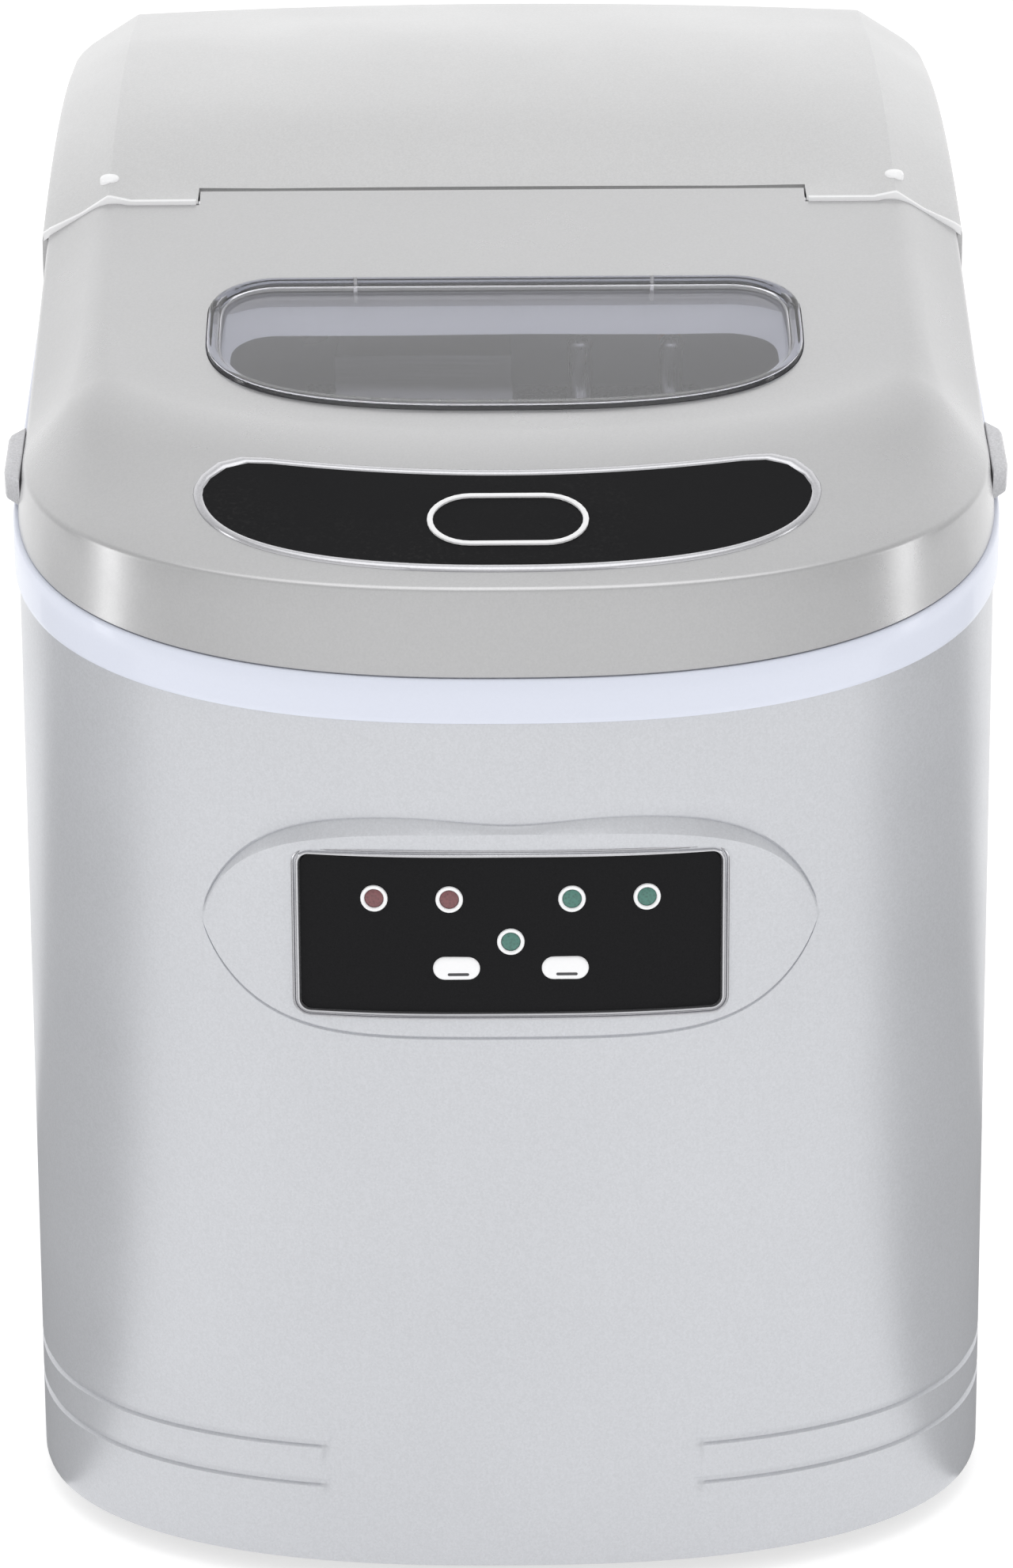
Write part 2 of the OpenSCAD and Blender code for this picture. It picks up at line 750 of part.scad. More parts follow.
module red_lenses() in_place() color("firebrick") on_panel()
    for (x = led_x) led_place(-x, led_row) lens_pipe(x);

module green_lenses() in_place() color("teal") on_panel() {
    for (x = led_x) led_place(x, led_row) lens_pipe(x);
    led_place(0, power_led_row) lens_pipe(0);
}

module panel_button(s) in_place() color("whitesmoke") on_panel() button_place(s) {
    translate([0, 0, -3]) stadium(button_w, button_h, 3 + 3 * face_proud);
    translate([0, 0, board_z + switch_h + button_travel + gap])
        stadium(button_w + 1.8, button_h + 1.8, 2.2);
    translate([0, 0, board_z + switch_h + button_travel + gap]) stadium(6, 3, -board_z - switch_h - 3);
}

module power_button() panel_button(-1);

module select_button() panel_button(1);

module button_switches() in_place() color([0.2, 0.2, 0.2]) on_panel()
    for (s = [-1, 1]) translate([s * button_x - 3, button_row - 3, board_z]) cube([6, 6, switch_h]);

module display_board() in_place() color("darkgreen") on_panel()
    translate([0, 0, board_z - board_t]) rounded_plate(panel_w + 3, panel_h + 2, 2, board_t);

// ---- Cold circuit ----

module compressor() in_place() color([0.12, 0.12, 0.13]) translate([comp_x, comp_y, comp_z]) {
    rotate_extrude($fn = 64) polygon([
        [0, 0], [comp_r * 0.6, 0], [comp_r * 0.9, 8], [comp_r, 22], [comp_r, 48],
        [comp_r + 3, 48], [comp_r + 3, 54], [comp_r, 54], [comp_r, 82], [comp_r * 0.9, 100],
        [comp_r * 0.6, 112], [0, 116]]);
    difference() {
        translate([0, 0, -1.9]) linear_extrude(2) square([compressor_d - 4, compressor_d + 4], center = true);
        comp_corners() cylinder(h = 10, r = 5, center = true);
    }
}

module comp_corners() {
    for (x = [-1, 1]) for (y = [-1, 1]) translate([x * (comp_r - 10), y * (comp_r - 8), 0]) children();
}

module compressor_mounts() in_place() color([0.15, 0.15, 0.15])
    translate([comp_x, comp_y, pan_top]) comp_corners() {
        cylinder(h = comp_z - 1.9 - pan_top, r = 8);
        cylinder(h = comp_z - pan_top + 3, r = 4.8);
        translate([0, 0, comp_z - pan_top + 0.2]) cylinder(h = 2.8, r = 7);
    }

module compressor_relay() in_place() color([0.2, 0.2, 0.22])
    box([comp_x - 20, comp_y - comp_r - 17, comp_z + 30], [comp_x + 20, comp_y - comp_r - 0.3, comp_z + 46]);

module condenser() in_place() color("slategray") {
    x = -half_w + wall + 1.5;
    for (k = [0:15]) box([x, machine_y + 8 + k * 6, 46], [x + 26, machine_y + 8.8 + k * 6, 166]);
    for (k = [0:5]) for (c = [7, 19]) rod([x + c, machine_y + 4, 56 + k * 20],
                                         [x + c, machine_y + 102, 56 + k * 20], 3);
    for (y = [machine_y + 2.4, machine_y + 102]) box([x, y, pan_top], [x + 26, y + 1.6, 168]);
}

module facing_side() translate([fan_x, fan_y, fan_z]) rotate([0, 90, 0]) children();

module fan_shroud() in_place() color([0.2, 0.2, 0.22]) {
    difference() {
        union() {
            facing_side() translate([0, 0, -10]) linear_extrude(20) square([100, 100], center = true);
            box([fan_x - 8, fan_y - 46, pan_top], [fan_x + 8, fan_y + 46, fan_z - 49]);
        }
        facing_side() cylinder(h = 60, r = fan_d / 2 + 1.5, center = true);
    }
    facing_side() difference() {
        union() {
            translate([0, 0, 7]) cylinder(h = 3, r = 17);
            for (a = [0:90:270]) rotate([0, 0, a]) translate([0, -3, 7]) cube([fan_d / 2 + 3, 6, 3]);
        }
        cylinder(h = 60, r = 4, center = true);
    }
}

module fan_motor() in_place() color("gray") facing_side() {
    translate([0, 0, 10]) cylinder(h = 20, r = 16);
    cylinder(h = 11, r = 3);
}

module fan_blade() in_place() color([0.25, 0.25, 0.28]) facing_side() {
    difference() {
        translate([0, 0, -8]) cylinder(h = 14, r = 13);
        translate([0, 0, -4]) cylinder(h = 20, r = 3 + shaft_run);
    }
    for (a = [0:60:300]) rotate([0, 0, a]) translate([12, 0, -1]) rotate([28, 0, 0])
        translate([0, -10, -0.8]) cube([fan_d / 2 - 13, 20, 1.6]);
}

module filter_drier() in_place() color("peru") translate([drier_x, drier_y, 60]) {
    cylinder(h = 60, r = 8);
    translate([0, 0, 60]) cylinder(h = 8, r1 = 8, r2 = 3);
    translate([0, 0, -8]) cylinder(h = 8, r1 = 3, r2 = 8);
}

// From the compressor's shoulder to the condenser's upper tube
module discharge_tube() in_place() color("peru") {
    x = -half_w + wall + 20.5;
    tube_path([[comp_x - comp_r + 14, comp_y, comp_z + 110.4], [comp_x - comp_r + 14, comp_y, 190],
               [x, machine_y + 112, 190], [x, machine_y + 112, 156],
               [x, machine_y + 104, 156]], 2.8);
}

module suction_tube() in_place() color("peru")
    tube_path([[44, tray_y + 6, tray_z + 34], [44, machine_y + 12, tray_z + 34],
               [comp_x, comp_y, comp_z + 160], [comp_x, comp_y, comp_z + 116.3]], 3);

module capillary_tube() in_place() color("peru") {
    x = -half_w + wall + 8.5;
    tube_path([[x, machine_y + 2, 56], [x, machine_y - 2.5, 56], [drier_x, machine_y - 2.5, 47],
               [drier_x, drier_y, 47], [drier_x, drier_y, 51.7]], 1.5);
    tube_path([[drier_x, drier_y, 128.3], [drier_x, drier_y, tray_z + 20],
               [20, drier_y, tray_z + 34], [20, tray_y + 6, tray_z + 34]], 1.6);
}

module evaporator() in_place() color("lightsteelblue") {
    box([-52, tray_y - 12, tray_z + 7], [52, tray_y + 12, tray_z + 15]);
    for (row = finger_rows) for (x = row[1]) translate([x, tray_y + row[0], tray_z - 20]) {
        cylinder(h = 28, r = 3.5);
        sphere(r = 3.5);
    }
    for (x = [20, 44]) tube_path([[x, tray_y, tray_z + 14], [x, tray_y, tray_z + 34],
                                  [x, tray_y + 5.7, tray_z + 34]], 3);
}

module evaporator_bracket() in_place() color("lightgray") {
    box([-44, tray_y - 4, tray_z + 15], [2, tray_y + 4, tray_z + 31]);
    box([-44, tray_y - 4, tray_z + 29], [2, tank_back - tank_wall - gap, tray_z + 31]);
    box([-44, tank_back - tank_wall - gap - 2, tray_z + 18],
        [2, tank_back - tank_wall - gap, tray_z + 31]);
}

// ---- Ice drop ----

module facing_left() translate([0, tray_y, tray_z]) rotate([90, 0, 90]) children();

// A wedge of a ring about the tray's line, between two angles from straight back
module arc_sector(r, from, to) {
    polygon(concat([[0, 0]], [for (i = [0:12]) let (a = from + (to - from) * i / 12) [r * cos(a), r * sin(a)]]));
}

module arc_wall(inner, outer, from, to, half) {
    facing_left() intersection() {
        difference() {
            cylinder(h = 2 * half, r = outer, center = true, $fn = 96);
            cylinder(h = 2 * half + 2, r = inner, center = true, $fn = 96);
        }
        translate([0, 0, -half - 2]) linear_extrude(2 * half + 4) arc_sector(3 * outer, from, to);
    }
}

module ice_chute() in_place() color("whitesmoke") {
    lip = [tray_y + (chute_in + 1) * cos(225), tray_z + (chute_in + 1) * sin(225)];
    arc_wall(chute_in, chute_in + chute_t, 225, 330, tank_half - gap);
    across(2 * tank_half - 2 * gap) polygon([
        lip + [0.8, -0.9], lip + [0.6, 0.6], [basket_back + 2, lip.y - 5], [basket_back + 2, lip.y - 6.5]]);
    for (s = [-1, 1]) difference() {
        across(bearing_t, s * bearing_x) polygon([
            [tray_y - 9, tray_z + 9], [tray_y + 9, tray_z + 9],
            [tray_y + 9, tray_z - chute_in - 1], [tray_y - 9, tray_z - chute_in - 1]]);
        facing_left() cylinder(h = 3 * far, r = shaft_r + shaft_run, center = true);
    }
}

module water_tray() in_place() color([0.85, 0.87, 0.9]) {
    arc_wall(tray_r, tray_r + tray_t, 210, 330, tray_half - eps);
    for (s = [-1, 1]) {
        facing_left() translate([0, 0, s * (tray_half + 1)]) linear_extrude(2, center = true)
            difference() {
                arc_sector(tray_r + tray_t - 0.1, 200, 340);
                circle(r = 2);
            }
        facing_left() translate([0, 0, s * (tray_half + 12)]) cylinder(h = 24, r = shaft_r, center = true);
    }
}

module ice_rake() in_place() color([0.75, 0.78, 0.82]) {
    arc_wall(rake_in, rake_out, 331, 337, tray_half + 6);
    for (s = [-1, 1]) facing_left() translate([0, 0, s * (tray_half + 6)]) difference() {
        union() {
            cylinder(h = 2, r = shaft_r + 4, center = true);
            linear_extrude(2, center = true) polygon([
                [0, -5], [0, 5], [rake_out * cos(338), rake_out * sin(338)],
                [rake_out * cos(330), rake_out * sin(330)]]);
        }
        cylinder(h = 10, r = shaft_r + shaft_run, center = true);
    }
}

function tray_motor_x() = -(half_w - side_in - tank_wall / 2);

module tray_motor() in_place() color("gray") {
    back = -tank_half + gap;
    facing_left() {
        translate([0, 0, back]) cylinder(h = tank_half - bearing_x - 14, r = 22);
        translate([0, 0, -bearing_x - 11.5]) cylinder(h = 1.2, r = 4);
    }
    translate([0, tray_y, tray_z]) translate([-bearing_x - 14.5, 0, 0]) rotate([0, 90, 0]) cylinder(h = 4, r = 4);
}

// ---- Basket, water and electrics ----

module basket_plan(inset) {
    polygon(concat(bow(basket_half - inset, basket_front + inset, bow_depth, bow_n),
                   back_corners(basket_half - inset, basket_back - inset, 8 - inset)));
}

module ice_basket() in_place() color([0.8, 0.82, 0.86]) difference() {
    union() {
        translate([0, 0, basket_z]) linear_extrude(basket_h) basket_plan(0);
        translate([0, 0, basket_z + basket_h - 3]) linear_extrude(3) basket_plan(-3);
    }
    translate([0, 0, basket_z + basket_wall]) linear_extrude(basket_h) basket_plan(basket_wall);
    for (i = [-5:5]) for (k = [0:2])
        box([i * 14 - 2.5, basket_front + 22 + k * 20, 0], [i * 14 + 2.5, basket_front + 36 + k * 20, basket_z + 5]);
    box([-far, basket_back - 10, basket_z + basket_h - 14], [far, far, far]);
}

module ice_full_sensors() in_place() color([0.15, 0.15, 0.17])
    for (s = [-1, 1]) translate([s * (tank_half - 1), sensor_y, basket_z + basket_h + 12])
        rotate([0, s * 90, 0]) {
            translate([0, 0, -3]) cylinder(h = 3.6, r = 6);
            cylinder(h = 9, r = 3.8);
        }

module water_probe() in_place() color("gray")
    translate([-20, tank_back + 3, tank_z + 30]) rotate([90, 0, 0]) {
        cylinder(h = 14, r = 4.7);
        translate([0, 0, 0]) cylinder(h = 2.6, r = 8);
    }

module water_pump() in_place() color([0.2, 0.2, 0.22]) {
    box([-64, machine_y + 1, pan_top], [-34, machine_y + 15, pan_top + 30]);
    translate([-42, machine_y + 8, pan_top + 30 - eps]) cylinder(h = 6, r = 8);
}

module pump_hose() in_place() color("whitesmoke")
    tube_path([[-42, tank_back - 4, tank_z + 12], [-42, machine_y + 8, tank_z + 12],
               [-42, machine_y + 8, pan_top + 36.1]], 4);

module tray_hose() in_place() color("whitesmoke")
    tube_path([[-54, machine_y + 7, pan_top + 30.1], [-54, machine_y + 7, ring_high(tank_back) + 5],
               [-54, tank_back - 13, ring_high(tank_back) + 5], [-54, tank_back - 13, tray_z + 40],
               [-50, tank_back - 19, tray_z + 32]], 3.5);

module control_board() in_place() color("darkgreen") {
    box([-60, body_d - wall - 9.8, 175], [60, body_d - wall - 8.2, 255]);
    for (k = [0:3]) translate([-40 + 26 * k, body_d - wall - 9.6, 190]) rotate([90, 0, 0]) cylinder(h = 18, r = 7);
    for (k = [0:2]) box([-45 + 32 * k, body_d - wall - 24, 215], [-23 + 32 * k, body_d - wall - 9.6, 243]);
}

module transformer() in_place() color("dimgray") {
    box([-52, body_d - 40, pan_top], [-10, body_d - 34, pan_top + 46]);
    box([-50, body_d - 34 - eps, pan_top + 2], [-12, body_d - 12, pan_top + 44]);
}

outer_shell();
base_pan();
feet();
foot_screws();
rear_panel();
rear_panel_screws();
rear_cover();
cover_screw_caps();
tank_liner();
foam_jacket();
hinge_pins();
lid_shell();
lid_inner();
lid_window();
badge_bezel();
badge_plate();
badge_emblem();
lid_grips();
lid_screws();
panel_bezel();
panel_face();
led_rings();
red_lenses();
green_lenses();
power_button();
select_button();
display_board();
button_switches();
compressor();
compressor_mounts();
compressor_relay();
condenser();
fan_shroud();
fan_motor();
fan_blade();
filter_drier();
discharge_tube();
suction_tube();
capillary_tube();
evaporator();
evaporator_bracket();
ice_chute();
water_tray();
ice_rake();
tray_motor();
ice_basket();
ice_full_sensors();
water_probe();
water_pump();
pump_hose();
tray_hose();
control_board();
transformer();
cord_gland();
drain_spout();
drain_cap();
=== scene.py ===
import json
import math

import bmesh
import bpy
from mathutils import Matrix, Vector
from mathutils.bvhtree import BVHTree
from mathutils.geometry import tessellate_polygon


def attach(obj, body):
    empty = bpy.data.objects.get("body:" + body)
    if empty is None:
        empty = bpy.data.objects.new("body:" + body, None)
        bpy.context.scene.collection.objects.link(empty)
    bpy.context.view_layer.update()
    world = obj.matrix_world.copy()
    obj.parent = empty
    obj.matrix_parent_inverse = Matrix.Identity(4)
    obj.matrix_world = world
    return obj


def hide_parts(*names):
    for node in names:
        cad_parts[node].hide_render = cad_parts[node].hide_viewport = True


# Countertop ice maker. Lengths are in millimetres and depths are measured back from the front
# of the casing. place() turns them into metres in the frame's own place.

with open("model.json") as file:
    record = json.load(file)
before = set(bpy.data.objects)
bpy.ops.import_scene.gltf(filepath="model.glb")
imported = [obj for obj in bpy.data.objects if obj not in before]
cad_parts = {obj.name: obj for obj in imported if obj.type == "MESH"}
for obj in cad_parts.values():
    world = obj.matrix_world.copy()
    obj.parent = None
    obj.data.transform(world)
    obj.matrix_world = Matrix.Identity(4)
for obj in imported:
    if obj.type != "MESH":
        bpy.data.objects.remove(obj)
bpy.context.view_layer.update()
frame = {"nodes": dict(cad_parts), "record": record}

# ---- Sizes, as in the CAD except for the brow's peak and lip ----

MM = 0.001
FRONT_Y = -170.8
HALF_W = 118.0
BODY_D = 342.8
BOW_DEPTH = 90.0
BOW_N = 2.42
BACK_R = 14.0
WALL = 2.5
RING_PROUD = 1.2
RING_LOW, RING_LOW_SLOPE = 216.0, 0.234
RING_HIGH, RING_HIGH_SLOPE = 226.6, 0.254
CREASE_LOW, CREASE_SLOPE = 246.1, 0.162
CREASE_HIGH = 261.814
CREASE_AT_SPLIT = 293.0
TOP_H = 327.7
SPLIT_Y = 184.0
SPLIT_TOP = 301.0
TOP_DROP = 26.7
FLAT_BACK_Y = 304.8
LID_SLOPE = 0.275
LID_ANGLE = math.atan(LID_SLOPE)
FOLD_X = 101.0
CREST_Y = 57.0
CREST_TURN = 95.0
CREASE_TURN = 97.0
HINGE_Y = 191.2
HINGE_Z = 299.246
HINGE_R = 3.6
TONGUE_HALF = 77.5
NOTCH_BACK = 195.2
PANEL_Z = 165.0
PANEL_W = 97.6
PANEL_H = 38.0
FRAME_W = 101.4
FRAME_H = 41.5
BROW_Z = 166.3
BROW_HALF = 72.2
BROW_PEAK = 44.0
BROW_LIP = 186.0
PANEL_OPENING_HALF = 48.9
BACK_OPENING_HALF = 102.0
LED_X = (14.2, 31.6)
LED_ROW = 8.7
POWER_LED_ROW = -1.6
BUTTON_X = 12.6
BUTTON_ROW = -8.1
GROOVE_START = 43.5
GROOVE_END_Y = 110.0
VENT_FROM = 224.0
VENT_TO = 312.0

# ---- Light levels and camera ----

SURROUND = 0.98
BACK_BOOST = 0.38
SIDE_SHADE = 0.55
HIGH_SHADE = 0.34
TOP_BOOST = 1.3
FLOOR_GLOW = 1.25
CAMERA_LENS = 130.13
CAMERA_PITCH = 0.29508
CAMERA_ROLL = -0.00509
CAMERA_TURN = -0.006
CAMERA_AT = (0.00021, -1.41838, 0.58074)


def top_z(y):
    """Height of the lid's flat top."""
    return SPLIT_TOP + LID_SLOPE * (y - SPLIT_Y)


def ring_low(y):
    """Height of the joint between casing and ring."""
    return RING_LOW + RING_LOW_SLOPE * y


def ring_high(y):
    """Height of the joint between ring and lid."""
    return RING_HIGH + RING_HIGH_SLOPE * y


def crease(y):
    """Height of the crease over the lid's upright band."""
    if y < CREASE_TURN:
        return CREASE_LOW + CREASE_SLOPE * y
    rise = CREASE_AT_SPLIT - CREASE_HIGH
    return CREASE_HIGH + rise * (y - CREASE_TURN) / (SPLIT_Y - CREASE_TURN)


def climb(y):
    """1 at the split, falling to 0 where the rear cover levels off."""
    return max(0.0, 1 - (y - SPLIT_Y) / (FLAT_BACK_Y - SPLIT_Y)) ** 2


def cover_top(y):
    """Height of the rear cover along its middle."""
    return TOP_H - TOP_DROP * climb(y)


def cover_edge(y):
    """Height of the rear cover at its sides."""
    return cover_top(y) - 9.9 + 1.9 * climb(y)


def bow_back(x):
    """How far the bowed front lies back at a distance from the middle."""
    t = min(1.0, abs(x) / HALF_W)
    return BOW_DEPTH * (1 - (1 - t ** BOW_N) ** (1 / BOW_N))


def bow_turn(x):
    """Angle that the bow has turned through at a distance from the middle."""
    return math.atan2(bow_back(x + 0.5) - bow_back(x - 0.5), 1.0)


def bow_point(angle, half, start, end, n):
    """A plan point of a bowed outline. 180 is its left end, 270 its front, 360 its right."""
    a = math.radians(angle)
    c, s = math.cos(a), math.sin(a)
    return (
        half * math.copysign(abs(c) ** (2 / n), c),
        end - (end - start) * abs(s) ** (2 / n),
    )


def arc(cx, cy, r, start, steps, sweep=90):
    """Points along an arc, with its angles in degrees."""
    angles = [math.radians(start + sweep * k / steps) for k in range(steps + 1)]
    return [(cx + r * math.cos(a), cy + r * math.sin(a)) for a in angles]


def smooth(t):
    t = max(0.0, min(1.0, t))
    return t * t * (3 - 2 * t)


def mix(a, b, t):
    return a + (b - a) * t


def place(x, y, z):
    """A point of the machine, in millimetres, in the frame's own metres."""
    return Vector((x * MM, (y + FRONT_Y) * MM, z * MM))


# ---- Mesh kit ----


def grid_faces(rows, cols, wrap=False, skip=None):
    """Faces of a grid of points. wrap joins each row's ends, and skip leaves faces out."""
    faces = []
    for r in range(rows - 1):
        for c in range(cols if wrap else cols - 1):
            d = (c + 1) % cols
            if skip and skip(r, c):
                continue
            faces.append((r * cols + c, r * cols + d, (r + 1) * cols + d, (r + 1) * cols + c))
    return faces


def new_object(name, data):
    obj = bpy.data.objects.new(name, data)
    bpy.context.scene.collection.objects.link(obj)
    return obj


def make_object(name, points, faces, weld=2e-6):
    """A mesh object with its doubles merged and its faces pointing outwards."""
    mesh = bpy.data.meshes.new(name)
    mesh.from_pydata([tuple(p) for p in points], [], faces)
    work = bmesh.new()
    work.from_mesh(mesh)
    bmesh.ops.remove_doubles(work, verts=work.verts, dist=weld)
    bmesh.ops.dissolve_degenerate(work, edges=work.edges, dist=weld)
    loose = [v for v in work.verts if not v.link_faces]
    bmesh.ops.delete(work, geom=loose, context="VERTS")
    bmesh.ops.recalc_face_normals(work, faces=work.faces)
    work.to_mesh(mesh)
    work.free()
    return new_object(name, mesh)


def face_away(obj, centre):
    """Turns an open sheet so that its faces point away from a point inside it."""
    mesh = obj.data
    inside = place(*centre)
    total = sum((f.center - inside).dot(f.normal) * f.area for f in mesh.polygons)
    if total < 0:
        mesh.flip_normals()
    return obj


def settle(obj):
    """Puts an object's modifiers into its mesh."""
    graph = bpy.context.evaluated_depsgraph_get()
    mesh = bpy.data.meshes.new_from_object(obj.evaluated_get(graph))
    obj.modifiers.clear()
    obj.data = mesh
    return obj


def thicken(obj, thickness, even=True):
    """Gives a sheet a wall on its inner side."""
    wall = obj.modifiers.new("wall", "SOLIDIFY")
    wall.thickness = thickness * MM
    wall.offset = -1
    wall.use_even_offset = even
    wall.use_quality_normals = True
    return settle(obj)


def soften(obj, width, segments, angle):
    """Rounds the edges that turn by more than an angle in degrees."""
    edge = obj.modifiers.new("edge", "BEVEL")
    edge.width = width * MM
    edge.segments = segments
    edge.limit_method = "ANGLE"
    edge.angle_limit = math.radians(angle)
    edge.harden_normals = False
    return settle(obj)


def finish_piece(obj, body, material, stands_for=(), sharp=35):
    """Shades a piece, gives it its finish and body, and hides the CAD nodes it stands for."""
    mesh = obj.data
    mesh.shade_smooth()
    mesh.set_sharp_from_angle(angle=math.radians(sharp))
    mesh.materials.clear()
    mesh.materials.append(material)
    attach(obj, body)
    if stands_for:
        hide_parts(*stands_for)
    return obj


def end_faces(rows, cols):
    """The first and the last row of a grid, each closed with one face."""
    last = (rows - 1) * cols
    return [tuple(range(cols)), tuple(range(last, last + cols))]


def shifted(faces, start):
    return [tuple(i + start for i in f) for f in faces]


def loft(name, loops, caps=0):
    """Joins closed loops of points. With no caps the last loop meets the first; with one, only
    the last is closed."""
    if caps == 0:
        loops = loops + loops[:1]
    rows, cols = len(loops), len(loops[0])
    faces = grid_faces(rows, cols, True) + end_faces(rows, cols)[2 - caps:]
    return make_object(name, [p for loop in loops for p in loop], faces)


def turned(profile, steps):
    """Points of a profile of (radius, height) turned about its own axis."""
    angles = [2 * math.pi * k / steps for k in range(steps)]
    return [Vector((r * math.cos(a), r * math.sin(a), h)) for r, h in profile for a in angles]


def lathe(profile, steps, matrix):
    """Points and faces of a turned solid."""
    points = [matrix @ p for p in turned(profile, steps)]
    rows = len(profile)
    return points, grid_faces(rows, steps, True) + end_faces(rows, steps)


def gather(name, parts):
    """One object from several lists of points and faces."""
    points, faces = [], []
    for part_points, part_faces in parts:
        start = len(points)
        points += list(part_points)
        faces += shifted(part_faces, start)
    return make_object(name, points, faces)


def standing(x, y, z, axis, up=(0, 0, 1)):
    """Matrix that stands a turned shape, drawn in millimetres, on a point along an axis."""
    w = Vector(axis).normalized()
    u = Vector(up).cross(w)
    if u.length < 1e-6:
        u = Vector((1, 0, 0))
    u.normalize()
    v = w.cross(u)
    turn = Matrix((u, v, w)).transposed().to_4x4()
    return Matrix.Translation(place(x, y, z)) @ turn @ Matrix.Scale(MM, 4)


def panel_axis(x):
    """Outward direction of the bowed front at a distance from the middle."""
    a = bow_turn(x)
    return (math.sin(a), -math.cos(a), 0)


# ---- Shader groups ----


def new_group(name, inputs, outputs):
    """A shader group, with the kind of each input socket read from its first value."""
    group = bpy.data.node_groups.new(name, "ShaderNodeTree")
    kinds = {1: "NodeSocketFloat", 3: "NodeSocketVector", 4: "NodeSocketColor"}
    for label, value in inputs.items():
        kind = kinds[len(value) if isinstance(value, tuple) else 1]
        socket = group.interface.new_socket(label, in_out="INPUT", socket_type=kind)
        socket.default_value = value
    for label in outputs:
        kind = kinds[4 if label == "Colour" else 1]
        group.interface.new_socket(label, in_out="OUTPUT", socket_type=kind)
    given = group.nodes.new("NodeGroupInput").outputs
    return group, given, group.nodes.new("NodeGroupOutput")


def plug(tree, socket, value):
    """Feeds a socket from another node's output, or sets it to a constant."""
    if isinstance(value, bpy.types.NodeSocket):
        tree.links.new(value, socket)
    else:
        socket.default_value = value


def feed(tree, node, **values):
    """Plugs a node's inputs by name, with underscores for spaces."""
    for key, value in values.items():
        plug(tree, node.inputs[key.replace("_", " ")], value)
    return node


def add_node(tree, kind, settings=None, **values):
    node = tree.nodes.new(kind)
    for key, value in (settings or {}).items():
        setattr(node, key, value)
    return feed(tree, node, **values)


def math_node(tree, operation, a, b):
    node = add_node(tree, "ShaderNodeMath", {"operation": operation})
    plug(tree, node.inputs[0], a)
    plug(tree, node.inputs[1], b)
    return node.outputs[0]


def object_coords(tree):
    return add_node(tree, "ShaderNodeTexCoord").outputs["Object"]


def noise(tree, vector, scale, detail=3.0, rough=0.55):
    node = add_node(tree, "ShaderNodeTexNoise", Vector=vector, Scale=scale, Detail=detail)
    return feed(tree, node, Roughness=rough).outputs["Fac"]


def cells_of(tree, scale):
    """A cell pattern at a scale, as its outputs."""
    node = add_node(tree, "ShaderNodeTexVoronoi", Vector=object_coords(tree), Scale=scale)
    return node.outputs


def ramp(tree, value, low, high, out_low=0.0, out_high=1.0):
    node = add_node(tree, "ShaderNodeMapRange", Value=value, From_Min=low, From_Max=high)
    return feed(tree, node, To_Min=out_low, To_Max=out_high).outputs["Result"]


def blend_colour(tree, factor, a, b):
    node = add_node(tree, "ShaderNodeMix", {"data_type": "RGBA"})
    for index, value in ((0, factor), (6, a), (7, b)):
        plug(tree, node.inputs[index], value)
    return node.outputs[2]


def make_flake_group():
    """Metal flake under lacquer: a tint that sparkles, and a slow drift of tone."""
    first = {"Colour": (0.6, 0.6, 0.6, 1), "Flake Scale": 2600.0, "Flake": 0.12, "Drift": 0.04}
    tree, given, out = new_group("metal_flake", first, ["Colour"])
    cells = cells_of(tree, given["Flake Scale"])
    grey = add_node(tree, "ShaderNodeRGBToBW", Color=cells["Color"]).outputs[0]
    sparkle = ramp(tree, grey, 0.1, 0.9, -1.0, 1.0)
    slow = ramp(tree, noise(tree, object_coords(tree), 9.0, 2.0), 0.3, 0.7, -1.0, 1.0)
    tone = math_node(tree, "MULTIPLY", sparkle, given["Flake"])
    drift = math_node(tree, "MULTIPLY", slow, given["Drift"])
    change = math_node(tree, "ADD", math_node(tree, "ADD", tone, drift), 1.0)
    scaled = add_node(tree, "ShaderNodeVectorMath", {"operation": "SCALE"}, Scale=change)
    plug(tree, scaled.inputs[0], given["Colour"])
    feed(tree, out, Colour=scaled.outputs[0])
    return tree


def make_skin_group():
    """Moulded or sprayed skin: fine pebble and long orange peel, as one height."""
    first = {"Grain Scale": 1800.0, "Grain": 1.0, "Peel Scale": 160.0, "Peel": 1.0}
    tree, given, out = new_group("moulded_skin", first, ["Height", "Mask"])
    coords = object_coords(tree)
    fine = noise(tree, coords, given["Grain Scale"], 2.0, 0.5)
    peel = noise(tree, coords, given["Peel Scale"], 1.0, 0.5)
    a = math_node(tree, "MULTIPLY", fine, given["Grain"])
    b = math_node(tree, "MULTIPLY", peel, given["Peel"])
    feed(tree, out, Height=math_node(tree, "ADD", a, b), Mask=fine)
    return tree


